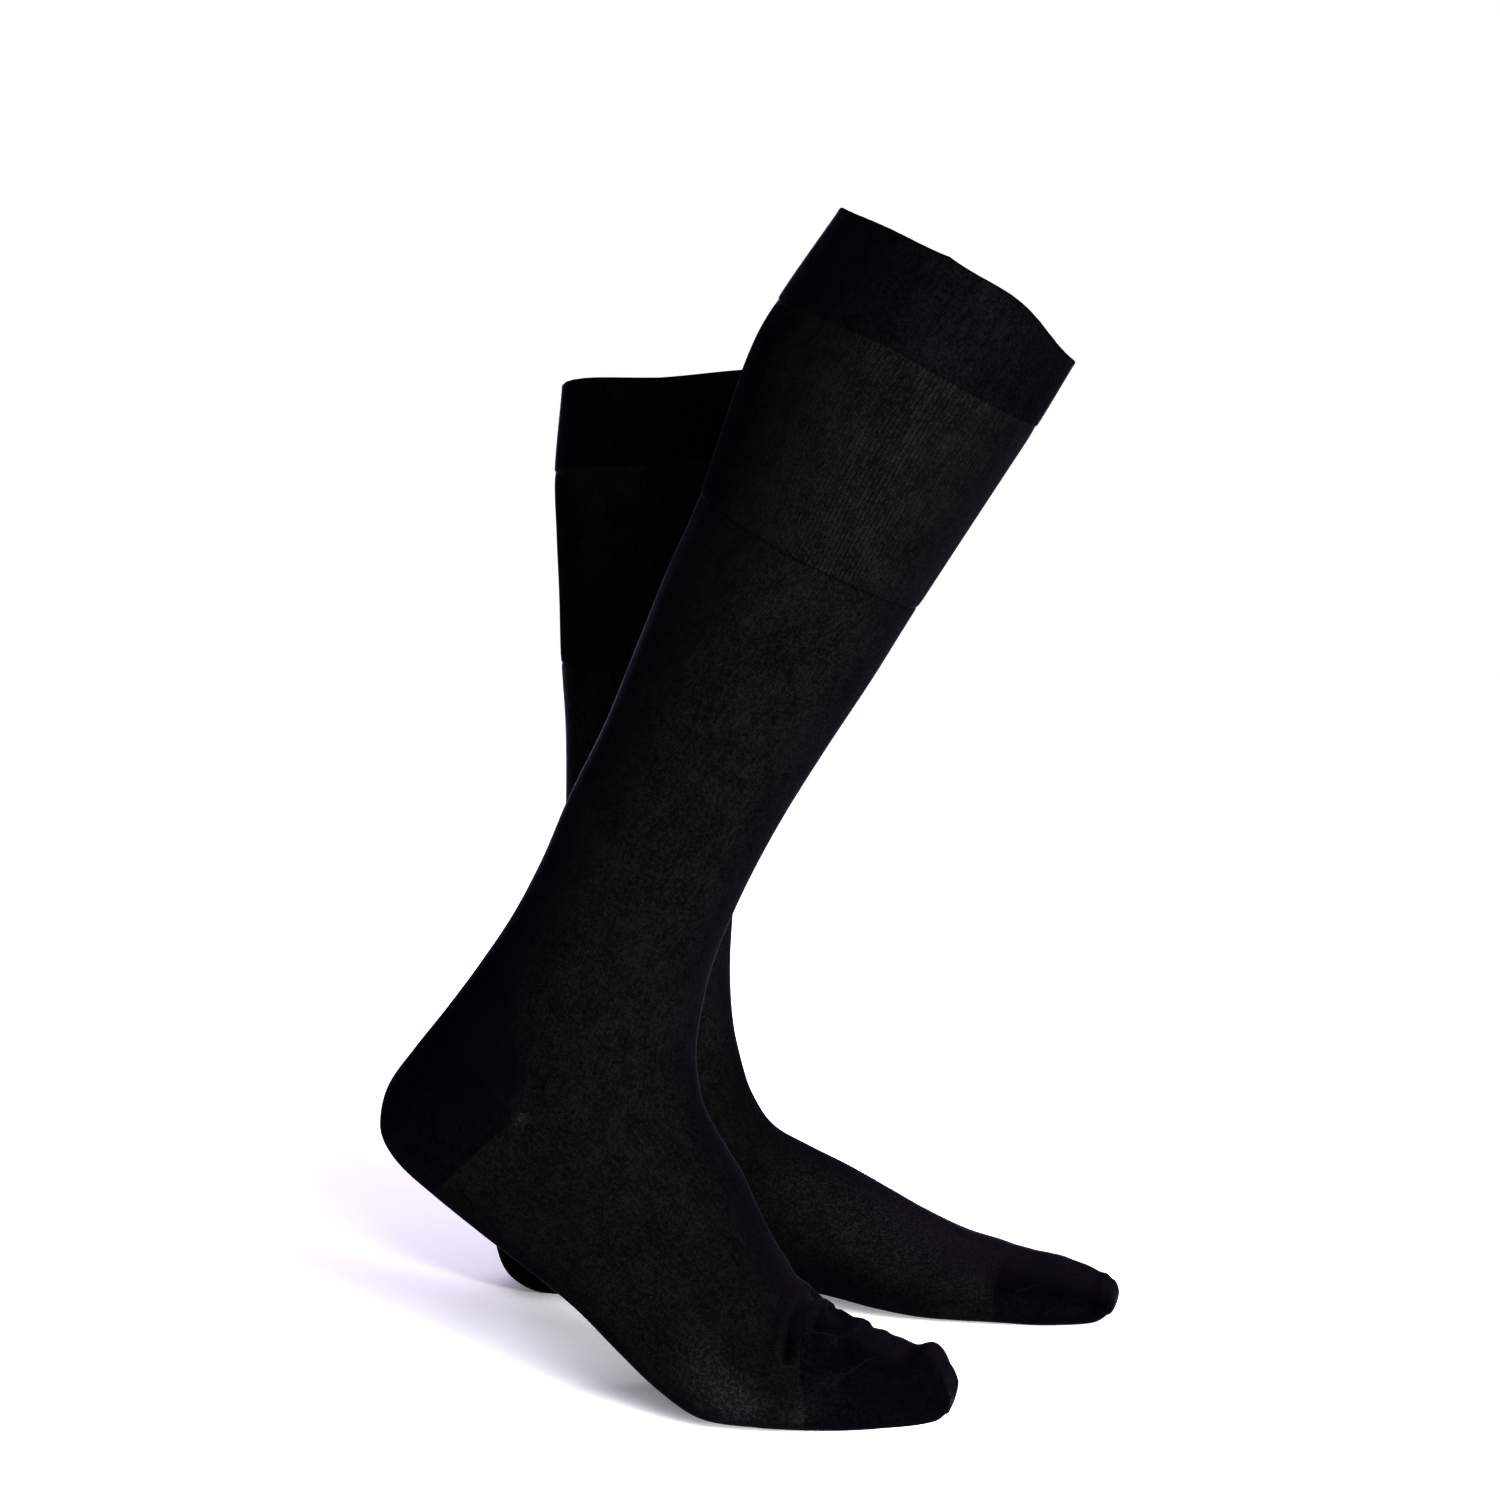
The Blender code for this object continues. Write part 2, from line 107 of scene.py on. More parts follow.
LEFT_FOOT = table(
    Section,
    ("heel_end", 35, 98, -30, 49, -38, -1.5, 32, 32, 2.0, 3.4),
    ("instep_1", 40, 85, -8, 40, -14, -0.5, 33.5, 31.5, 2.0, 3.6),
    ("instep_2", 48.5, 73.2, 13, 32, 10, 5, 35, 31.5, 1.9, 3.8),
    ("instep_3", 62.5, 65.6, 35, 27, 34, 8.5, 37.5, 33, 1.8, 4.0),
    ("instep_4", 80.5, 57, 58, 23, 56, 9.3, 40.5, 36, 1.8, 4.0),
    ("instep_5", 97.5, 47.3, 80, 18, 78, 6.5, 44, 40, 1.9, 3.7),
    ("ball_outer", 113.3, 37.8, 101, 15, 99, 2.2, 46, 44, 2.0, 3.4),
    ("ball_inner", 131, 28.8, 121, 13, 120, -0.7, 45, 45.5, 2.2, 3.2),
    ("toe_line", 149.5, 23.4, 148.5, 11.5, 148.5, -1, 40, 44.5, 2.4, 3.4),
)
LEFT_TOE = table(
    Section,
    ("toe_1", 165, 20.2, 166, 10.5, 166, -1.5, 33, 42, 2.5, 3.6),
    ("toe_2", 180, 17, 181, 9.5, 181, -1, 24, 38.5, 2.5, 3.6),
    ("toe_3", 187, 14.6, 188, 8.3, 188, -0.8, 18, 34, 2.6, 3.3),
    ("toe_4", 190.5, 14.8, 191.1, 8, 191, 0, 12.5, 30.5, 2.5, 3.0),
    ("toe_5", 193.3, 13, 193.6, 7.6, 193.4, 1.4, 8, 26.5, 2.3, 2.6),
)

RIGHT_LEG = table(
    Section,
    ("rim", 203.5, 394.5, 162, 429, 114.5, 450.5, 51, 51),
    ("welt_edge", 189, 370, 142.5, 397.5, 92, 418, 52, 52),
    ("calf", 173, 345, 127, 371, 80, 395, 51, 51),
    ("course", 145.5, 302, 104, 323, 63.5, 345.5, 46, 46),
    ("shin_1", 129, 275, 90, 296, 51, 316.5, 43, 43),
    ("shin_2", 111.5, 248, 76, 268.5, 40, 288.5, 40, 40),
    ("shin_3", 95, 221, 61.5, 240, 28, 258.5, 37.5, 37.5),
    ("shin_4", 81.5, 195, 48.5, 213.5, 15, 231.5, 36.5, 36.5),
    ("ankle_1", 71, 169.5, 37.5, 188, 4.5, 206.5, 36, 36),
    ("ankle_2", 66.5, 151, 28.5, 168, -6.5, 185.5, 35.5, 35.5),
    ("ankle_3", 64.5, 133, 16, 141, -19.5, 166, 34, 34),
    ("heel_top", 67.5, 116, 3, 113, -32.5, 148.5, 32, 32),
)
RIGHT_HEEL = heel_sections(
    RIGHT_LEG[-1],
    (-44, 134, 2.0), (-54, 120, 2.1), (-57, 108, 2.3), (-55.5, 99, 2.6), (-48, 89.5, 3.0),
)
RIGHT_FOOT = table(
    Section,
    ("heel_end", 67.5, 116, 3, 113, -34.5, 79, 32, 32, 2.0, 3.4),
    ("instep_1", 74, 103, 17, 96, -16, 66, 33.5, 31.5, 2.0, 3.6),
    ("instep_2", 83, 89, 33, 79, 4, 52.5, 35, 31.5, 1.9, 3.8),
    ("instep_3", 88.5, 77, 48, 62, 23, 39.5, 37.5, 33, 1.8, 4.0),
    ("instep_4", 94, 65.8, 62, 45, 40, 24.5, 40.5, 36, 1.8, 4.0),
    ("instep_5", 98.5, 57.3, 76, 30, 56, 11.5, 44, 40, 1.9, 4.0),
    ("ball_outer", 102.5, 50.3, 88, 20, 73, 2, 46, 44, 2.0, 4.0),
    ("ball_inner", 105.8, 46, 100, 15, 95, 0, 45, 45.5, 2.2, 4.0),
    ("toe_line", 109.5, 41.3, 114.5, 12.5, 114, -1, 40, 44.5, 2.4, 4.0),
)
RIGHT_TOE = table(
    Section,
    ("toe_1", 124, 33, 130, 11, 130, -1.5, 33, 42, 2.5, 4.0),
    ("toe_2", 137.5, 26.6, 141, 10.5, 141, -1.5, 27, 39, 2.5, 3.8),
    ("toe_3", 145.5, 22.9, 149, 10.5, 149, -1.5, 22, 36.5, 2.5, 3.6),
    ("toe_4", 152.5, 25, 155, 10.8, 154.5, -1.5, 17, 33, 2.5, 3.4),
    ("toe_5", 156.6, 23.4, 158.5, 10.2, 158.5, -0.8, 12, 28.5, 2.4, 3.0),
    ("toe_6", 158.6, 19.2, 161.2, 9, 161.2, 1.4, 7, 24, 2.2, 2.6),
)

# A fold is a soft trough along a line on one side of the foot, or a ridge where its depth is less
# than nothing. side is 1 for the outer side, -1 for the inner one and 0 for both.
Fold = namedtuple("Fold", "name side start_s start_z end_s end_z width depth")
LEFT_FOLDS = table(
    Fold,
    ("ankle_inner", -1, 36, 96, 50, 76, 5, 1.2),
    ("ankle_inner_low", -1, 41, 92, 54, 74, 2.2, -0.5),
    ("ankle_outer", 1, 38, 92, 46, 80, 5, 1.0),
    ("toe_dip", 0, 150, 23.0, 158, 21.5, 5, 0.8),
    ("toes_inner", -1, 163, 14.5, 184, 10, 2.6, 1.0),
    ("toes_outer", 1, 160, 14, 178, 9.5, 3, 0.9),
)
RIGHT_FOLDS = table(
    Fold,
    ("bend_trough_outer", 1, 101.3, 43, 97.3, 27, 5.0, 2.4),
    ("bend_ridge_outer", 1, 105.0, 44, 103.8, 32, 1.9, -1.0),
    ("bend_crease_outer", 1, 107.7, 41, 108.2, 29, 1.7, 2.6),
    ("bend_puff", 0, 112.6, 38.5, 112, 34, 2.4, -1.2),
    ("toe_hook", 0, 114.5, 37.2, 123.4, 33.4, 1.4, 2.8),
    ("toe_hook_ridge", 0, 117.5, 34.0, 128.5, 30.6, 1.3, -1.2),
    ("toe_hook_dip", -1, 116, 33.5, 122, 30.5, 3.2, 2.2),
    ("toe_slant", 0, 131.8, 29.2, 130.2, 27, 1.3, 1.6),
    ("toe_dent_outer", 1, 114.6, 27, 114.2, 24, 3.4, 1.0),
    ("toe_hollow_outer", 1, 133, 17.5, 155, 10.5, 5, 1.4),
    ("bend_trough_inner", -1, 98, 46, 102, 28, 4.2, 2.2),
    ("bend_crease_inner", -1, 109, 42, 113, 29, 1.8, 2.2),
    ("toe_dip_inner", -1, 126, 27, 136, 23, 3.0, 1.0),
)
# What lies on one side is full this far off the sock's middle, and fades to nothing at the middle
SIDE_FADE = 14.0
# A fold narrower than this is a crease, whose colour is darkened as painted shade by this share of
# its depth
CREASE_WIDTH = 2.0
PAINTED_CREASE_SHADE_SHARE = 0.4

# A wave is a soft rise of the rim over its plain line, or a dip where its height is less than
# nothing. Its angle is in degrees round from the front by the outer side, and spread is how far
# round it has lost most of its height.
Wave = namedtuple("Wave", "angle spread height")
LEFT_WAVES = table(
    Wave, (35, 30, 0.8), (150, 34, -0.6), (188, 12, -1.2), (228, 26, 1.1), (276, 22, -0.6)
)
RIGHT_WAVES = table(
    Wave, (56, 26, 5.4), (120, 30, 2.0), (170, 30, 1.5), (268, 24, -2.0), (328, 26, -1.9)
)
# How far down the welt the waves reach
WAVE_REACH = 36.0

# Spots where the colour is made lighter, or darker where the amount is less than nothing, by side
# and place. Some are the knit pulled open, or the denser reinforced yarn up the back of the heel;
# many are painted light and shade: painted light on the toes' ridges and over the far foot and leg,
# and painted shade and shadow along edges turned from the light, under the feet, at the heels and
# up the back of the ankle.
Place = namedtuple("Place", "side s z spread amount")
# On this sock the light spots over the inner side of the foot are painted light over knit pulled
# open towards the toes, and those up the back of the leg are painted light; the dark spots along
# the foot's lower edge, at the heel and on the toes are painted shadow and shade; the small light
# spots at the gore points are the stitches pulled open there.
LEFT_STRETCH_AND_PAINTED_LIGHT = table(
    Place,
    (-1, -22, 52, 3.5, 0.7), (-1, -30, 250, 14, 0.5), (-1, -36, 215, 14, 0.5),
    (-1, 25, 145, 13, 0.6), (-1, 29, 118, 13, 0.6), (-1, 140, 19, 8, 0.9),
    (-1, 127, 26, 10, 0.6), (-1, 110, 32, 15, 1.0), (-1, 88, 40, 15, 1.0),
    (-1, 66, 50, 13, 0.8), (-1, 113, 7, 7, -0.9), (-1, 97, 10, 8, -1.1),
    (-1, 81, 13, 10, -1.2), (-1, 66, 18, 9, -0.9), (-1, 152, 19, 5, -0.6),
    (-1, 170, 13, 7, -0.5), (-1, -58, 74, 18, -1.2), (-1, -52, 98, 16, -0.8),
    (1, -22, 52, 3.5, 0.5), (1, 132, 20, 10, 0.4), (1, 81, 14, 10, -0.5),
    (1, -58, 74, 18, -1.2), (1, -52, 98, 16, -0.8),
)
# On this sock the dark spots along the front of the ankle and instep, along the lower edge from
# heel to sole and under the toes are painted shade, and up the back of the ankle they are the
# reinforced yarn with painted shade over it; the light spots on the toes' ridges and low on the
# foot are painted light; the light spots at the gore points, on the sole by the toes and along the
# linking line are the knit pulled open, with painted light on the sole.
RIGHT_STRETCH_AND_PAINTED_LIGHT = table(
    Place,
    (1, 4.5, 113, 2.3, 2.6), (1, 46, 50, 12, 0.15), (1, 76, 27, 9, 0.8), (1, 84, 17, 9, 1.5),
    (1, 93, 12.5, 8, 1.1), (1, 113, 9, 5, 0.7), (1, 94, 31, 8, -0.5), (1, 104, 20, 6, -0.5),
    (1, 14, 94, 9, -0.3), (1, 24, 78, 9, -0.25), (1, 112, 39, 3.5, 0.8),
    (1, 122.5, 32.2, 2.2, 0.8), (1, 121.5, 19.5, 2.8, 0.3), (1, 126, 20.5, 2.8, 0.28),
    (1, 130, 22, 2.8, 0.26), (1, 134.5, 24, 2.8, 0.24), (1, 139, 24, 4, 0.16),
    (1, 136, 15, 9, -0.7), (1, 149, 13, 7, -0.5), (1, 66, 130, 10, -0.5),
    (1, 73, 106, 9, -0.6), (1, 83, 88, 9, -0.6), (1, 91, 70, 9, -0.5), (1, -13, 65, 8, -0.9),
    (1, 4, 52, 8, -1.0), (1, 21, 39, 8, -1.0), (1, 38, 25, 7, -1.0), (1, 54, 11, 7, -0.7),
    (1, -8, 129, 13, -1.8), (1, -24, 140, 18, -1.8), (1, -11, 158, 13, -1.3),
    (1, -3, 182, 14, -0.7), (1, 8, 206, 14, -0.4), (-1, 5, 113, 3.0, 0.8),
    (-1, 88, 14, 11, 0.5), (-1, 136, 15, 10, -0.5), (-1, -8, 129, 13, -1.8),
    (-1, -24, 140, 18, -1.8), (-1, -11, 158, 13, -1.5),
)

# lean is how far the leg tips towards the other leg for each millimetre above ANKLE_HEIGHT
ANKLE_HEIGHT = 110.0
Sock = namedtuple("Sock", "name x y outer_side lean leg heel foot toe folds waves places")
LEFT = Sock(
    "left", 0.0, 0.0, 1, 0.0,
    LEFT_LEG, LEFT_HEEL, LEFT_FOOT, LEFT_TOE, LEFT_FOLDS, LEFT_WAVES, LEFT_STRETCH_AND_PAINTED_LIGHT,
)
RIGHT = Sock(
    "right", -12.7, -181.4, -1, 0.105,
    RIGHT_LEG, RIGHT_HEEL, RIGHT_FOOT, RIGHT_TOE, RIGHT_FOLDS, RIGHT_WAVES, RIGHT_STRETCH_AND_PAINTED_LIGHT,
)
# The middle of the left sock's mouth is the origin
MOUTH_CENTRE = np.array([10.5, 0.0, 391.5])
FLOOR_Z = -MOUTH_CENTRE[2] * MM


# ------------------------------------------------ the sock's form


def clamped(value):
    return min(max(value, 0), 1)


def running(steps):
    """How far along each point lies, from the steps between the points."""
    return np.concatenate([[0], np.cumsum(steps)])


def down_of(grid):
    """How far down each ring of a grid lies."""
    return running(np.linalg.norm(np.diff(grid, axis=0), axis=2).mean(axis=1))


def placed(points):
    """Points over the floor in millimetres, turned into metres round the origin."""
    return (points - MOUTH_CENTRE) * MM


def numbers(section):
    return np.array(section[1:], float)


def smoothed(rows, before, after):
    """Rows on a Catmull-Rom curve through the given ones, with the rows before and after them."""
    padded = np.vstack([before, rows, after])
    result = []
    for i in range(1, len(rows)):
        last, start, end, following = padded[i - 1 : i + 3]
        for step in range(SECTION_STEPS):
            t = step / SECTION_STEPS
            bend = (2 * last - 5 * start + 4 * end - following) * t**2
            twist = (3 * start - last - 3 * end + following) * t**3
            result.append(0.5 * (2 * start + (end - last) * t + bend + twist))
    result.append(rows[-1])
    return result


def joined_row(front_of, tip_from, tip, back_of):
    """The row past a gore: its front and back come from its neighbours, and its side carries on."""
    row = back_of.copy()
    row[0:2] = front_of[0:2]
    row[2:4] = 2 * tip[2:4] - tip_from[2:4]
    return row


def quarter(sock, row, front, outwards):
    """One quarter of a ring, evenly spaced from its front or back point to its side."""
    front_point, side_point, back_point = row[0:2], row[2:4], row[4:6]
    half_width = row[6] if outwards else row[7]
    square = row[8] if front else row[9]
    reach = (front_point if front else back_point) - side_point
    angle = np.linspace(0, math.pi / 2, QUARTER_SAMPLES + 1)
    along = np.cos(angle).clip(0) ** (2 / square)
    across = np.sin(angle).clip(0) ** (2 / square)
    middle = side_point + along[:, None] * reach
    side = across * half_width * sock.outer_side * (1 if outwards else -1)
    tip_over = -sock.outer_side * sock.lean * np.clip(middle[:, 1] - ANKLE_HEIGHT, 0, None)
    height = middle[:, 1].clip(0)
    points = np.column_stack([sock.x + middle[:, 0], sock.y + side + tip_over, height])
    walked = running(np.linalg.norm(np.diff(points, axis=0), axis=1))
    even = np.linspace(0, walked[-1], COLUMNS // 4 + 1)
    return np.column_stack([np.interp(even, walked, points[:, axis]) for axis in range(3)])


def ring_of(sock, row):
    """COLUMNS points round the sock: front, outer side, back, inner side."""
    front_out = quarter(sock, row, True, True)
    back_out = quarter(sock, row, False, True)[::-1]
    back_in = quarter(sock, row, False, False)
    front_in = quarter(sock, row, True, False)[::-1]
    return np.vstack([front_out[:-1], back_out[:-1], back_in[:-1], front_in[:-1]])


def outward(sock, grid):
    """Unit normals at a grid's points, pointing out of the sock."""
    along = np.gradient(grid, axis=0)
    around = np.roll(grid, -1, axis=1) - np.roll(grid, 1, axis=1)
    normal = np.cross(along, around) * sock.outer_side
    return normal / np.linalg.norm(normal, axis=2, keepdims=True).clip(1e-9)


def fold_depth(sock, grid, fold):
    """How far one fold presses in each point of a grid."""
    start = np.array([fold.start_s, fold.start_z])
    line = np.array([fold.end_s, fold.end_z]) - start
    seen = grid[..., [0, 2]] - [sock.x, 0] - start
    part = (seen @ line / (line @ line)).clip(0, 1)
    distance = np.linalg.norm(seen - part[..., None] * line, axis=-1)
    side = (grid[..., 1] - sock.y) * sock.outer_side * fold.side if fold.side else SIDE_FADE
    return fold.depth * np.exp(-((distance / fold.width) ** 2)) * np.clip(side / SIDE_FADE, 0, 1)


def folded(sock, rows, before, after):
    """The rings through some rows with the folds pressed in, and how much painted shade each point
    gets from the creases.
    """
    grid = np.array([ring_of(sock, row) for row in smoothed(np.array(rows), before, after)])
    depths = [fold_depth(sock, grid, fold) for fold in sock.folds]
    tight = [
        depth
        for fold, depth in zip(sock.folds, depths)
        if fold.width < CREASE_WIDTH and fold.depth > 0
    ]
    creased = np.clip(PAINTED_CREASE_SHADE_SHARE * sum(tight, np.zeros(grid.shape[:2])), 0, 1)
    return grid - sum(depths)[..., None] * outward(sock, grid), creased


def waved(sock, grid):
    """The leg's rings with the rim's waves, which fade out down the welt."""
    upwards = grid[0].mean(axis=0) - grid[SECTION_STEPS].mean(axis=0)
    upwards = upwards / np.linalg.norm(upwards)
    angle = np.arange(COLUMNS) * 360 / COLUMNS
    rise = np.zeros(COLUMNS)
    for wave in sock.waves:
        apart = (angle - wave.angle + 180) % 360 - 180
        rise += wave.height * np.exp(-((apart / wave.spread) ** 2))
    fade = np.clip(1 - down_of(grid) / WAVE_REACH, 0, 1)
    return grid + fade[:, None, None] * rise[None, :, None] * upwards


def halves(front, back):
    """One ring whose front half comes from one ring and whose back half from another."""
    column = np.arange(COLUMNS)
    behind = (column > COLUMNS // 4) & (column < 3 * COLUMNS // 4)
    return np.where(behind[:, None], back, front)


class Skin:
    """A stretch of the sock's outer surface: rings of points, normals and how far down they lie."""

    def __init__(self, points, normals, creased=None):
        self.points = points
        self.normals = normals
        self.creased = creased
        self.down = down_of(points)
        self.length = self.down[-1]

    def row_at(self, distance):
        """The first row that lies at least a distance down the skin."""
        return int(np.searchsorted(self.down, distance))

    def ring_at(self, distance, lift=0.0):
        """The ring at a distance down the skin, lifted off it, in metres round the origin."""
        row = np.searchsorted(self.down, distance, side="right") - 1
        row = min(max(row, 0), len(self.down) - 2)
        t = (distance - self.down[row]) / (self.down[row + 1] - self.down[row])
        points = self.points[row] * (1 - t) + self.points[row + 1] * t
        normals = self.normals[row] * (1 - t) + self.normals[row + 1] * t
        normals = normals / np.linalg.norm(normals, axis=1, keepdims=True).clip(1e-9)
        lift = np.broadcast_to(np.asarray(lift, float), (COLUMNS,))
        return placed(points + lift[:, None] * normals)


def skins(sock):
    """The leg's, heel's and foot's skins, which agree wherever two of them meet."""
    leg_rows = [numbers(section) for section in sock.leg]
    foot_rows = [numbers(section) for section in sock.foot + sock.toe]
    gore = leg_rows[-1]
    heel_rows = [gore, *(numbers(section) for section in sock.heel), foot_rows[0]]
    before_leg = 2 * leg_rows[0] - leg_rows[1]
    after_leg = joined_row(foot_rows[1], leg_rows[-2], gore, heel_rows[1])
    before_heel = joined_row(gore, gore, gore, leg_rows[-2])
    after_heel = joined_row(gore, gore, gore, foot_rows[1])
    before_foot = joined_row(leg_rows[-2], foot_rows[1], foot_rows[0], heel_rows[-2])
    after_foot = 2 * foot_rows[-1] - foot_rows[-2]
    leg, _ = folded(sock, leg_rows, before_leg, after_leg)
    heel, _ = folded(sock, heel_rows, before_heel, after_heel)
    foot, creased = folded(sock, foot_rows, before_foot, after_foot)
    leg = waved(sock, leg)
    leg_normal = outward(sock, np.vstack([leg, [halves(foot[1], heel[1])]]))[:-1]
    heel_normal = outward(sock, np.vstack([[leg[-2]], heel, [foot[1]]]))[1:-1]
    foot_normal = outward(sock, np.vstack([[halves(leg[-2], heel[-2])], foot]))[1:]
    return Skin(leg, leg_normal), Skin(heel, heel_normal), Skin(foot, foot_normal, creased)


def named_distance(sections, skin, name):
    """How far down a skin one of its sections lies."""
    names = [section.name for section in sections]
    return skin.down[names.index(name) * SECTION_STEPS]


# ------------------------------------------------ knitting a mesh from rings

# Points that share a place are merged when they are closer than this, in metres
MERGE_DISTANCE = 1e-5


class Knitting:
    """A tube of cloth that grows ring by ring, each extruded from the open edge of the last."""

    def __init__(self, stride):
        self.mesh = bmesh.new()
        self.column = self.mesh.verts.layers.int.new("column")
        # How much lighter or darker each point is made: pulls in the knit, and painted light and
        # shade
        self.thin_and_painted_light = self.mesh.verts.layers.float.new("stretched")
        self.creased = self.mesh.verts.layers.float.new("creased")
        self.uv = self.mesh.loops.layers.uv.new("knit")
        self.stride = stride

    def cast_on(self, ring, course):
        """The first ring of stitches."""
        made = bmesh.ops.create_circle(
            self.mesh, cap_ends=False, radius=1.0, segments=COLUMNS // self.stride
        )
        self.first = set(made["verts"])
        for number, vert in enumerate(made["verts"]):
            vert[self.column] = number * self.stride
            vert.co = ring[number * self.stride]
        self.edges = list(self.mesh.edges)
        self.course = course

    def knit(self, ring, course, slot=0, creased=None):
        """One more ring on the open edges. course counts the rows of stitches down the cloth."""
        made = bmesh.ops.extrude_edge_only(self.mesh, edges=self.edges)["geom"]
        fresh = {item for item in made if isinstance(item, bmesh.types.BMVert)}
        for vert in fresh:
            vert.co = ring[vert[self.column]]
            vert[self.creased] = 0.0 if creased is None else creased[vert[self.column]]
        for face in (item for item in made if isinstance(item, bmesh.types.BMFace)):
            face.material_index = slot
            face.smooth = True
            columns = [loop.vert[self.column] for loop in face.loops]
            wraps = max(columns) - min(columns) > COLUMNS // 2
            for loop, column in zip(face.loops, columns):
                turned = column + COLUMNS if wraps and column < COLUMNS // 2 else column
                loop[self.uv].uv = (turned / 2, course if loop.vert in fresh else self.course)
        edges = (item for item in made if isinstance(item, bmesh.types.BMEdge))
        self.edges = [edge for edge in edges if fresh.issuperset(edge.verts)]
        self.course = course
        return fresh

    def turn_heel(self, rings, courses, slot):
        """A pocket on the back half of the open edges, closed in to its two gore points."""
        start, end = COLUMNS // 4, 3 * COLUMNS // 4
        self.edges = [
            edge
            for edge in self.edges
            if all(start <= vert[self.column] <= end for vert in edge.verts)
        ]
        open_verts = {vert for edge in self.edges for vert in edge.verts}
        tips = {vert for vert in open_verts if vert[self.column] in (start, end)}
        gores = {vert[self.column]: vert.co.copy() for vert in tips}
        before = self.course
        for ring, course in zip(rings, courses):
            for vert in self.knit(ring, course, slot):
                if vert[self.column] in gores:
                    vert.co = gores[vert[self.column]]
                    tips.add(vert)
        self.merge(tips)
        self.edges = [
            edge
            for edge in self.mesh.edges
            if edge.is_boundary and not self.first.intersection(edge.verts)
        ]
        self.course = before

    def bind_off(self):
        """Links the two layers of the last ring, which lie on each other."""
        self.merge({vert for edge in self.edges for vert in edge.verts})

    def merge(self, verts):
        """Merges points that share a place, in the mesh's own order, so that each run agrees."""
        ordered = [vert for vert in self.mesh.verts if vert in verts]
        bmesh.ops.remove_doubles(self.mesh, verts=ordered, dist=MERGE_DISTANCE)

    def place_stretch_and_painted_light(self, sock):
        """Notes how much lighter each point is made, or under 0 darker: the knit pulled open or
        gathered, and painted light and shade.
        """
        for vert in self.mesh.verts:
            x, y, z = vert.co / MM + Vector(MOUTH_CENTRE)
            leant = sock.outer_side * sock.lean * max(z - ANKLE_HEIGHT, 0)
            side = (y - sock.y + leant) * sock.outer_side
            thin_and_painted_light = 0.0
            for place in sock.places:
                apart = ((x - sock.x - place.s) ** 2 + (z - place.z) ** 2) / place.spread**2
                thin_and_painted_light += place.amount * math.exp(-apart) * clamped(side * place.side / SIDE_FADE)
            vert[self.thin_and_painted_light] = thin_and_painted_light

    def finish(self, name, skin, distance):
        """The piece, with its faces turned to look outwards at one distance down its skin."""
        row = skin.row_at(distance)
        bmesh.ops.recalc_face_normals(self.mesh, faces=self.mesh.faces)
        self.mesh.normal_update()
        probe = Vector(placed(skin.points[row, 0]))
        nearest = min(self.mesh.faces, key=lambda face: (face.calc_center_median() - probe).length)
        if nearest.normal.dot(Vector(skin.normals[row, 0])) < 0:
            bmesh.ops.reverse_faces(self.mesh, faces=self.mesh.faces)
        return piece_from(self.mesh, name)


def piece_from(mesh, name):
    data = bpy.data.meshes.new(name)
    mesh.to_mesh(data)
    mesh.free()
    piece = bpy.data.objects.new(name, data)
    bpy.context.scene.collection.objects.link(piece)
    return piece


def thicken(piece, thickness):
    solidify = piece.modifiers.new("Cloth thickness", "SOLIDIFY")
    solidify.thickness = thickness
    solidify.offset = -1.0
    solidify.use_rim = True


def put_on(piece, slot, *nodes):
    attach(piece, "root")
    if nodes:
        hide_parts(*nodes)


# ------------------------------------------------ yarn finishes


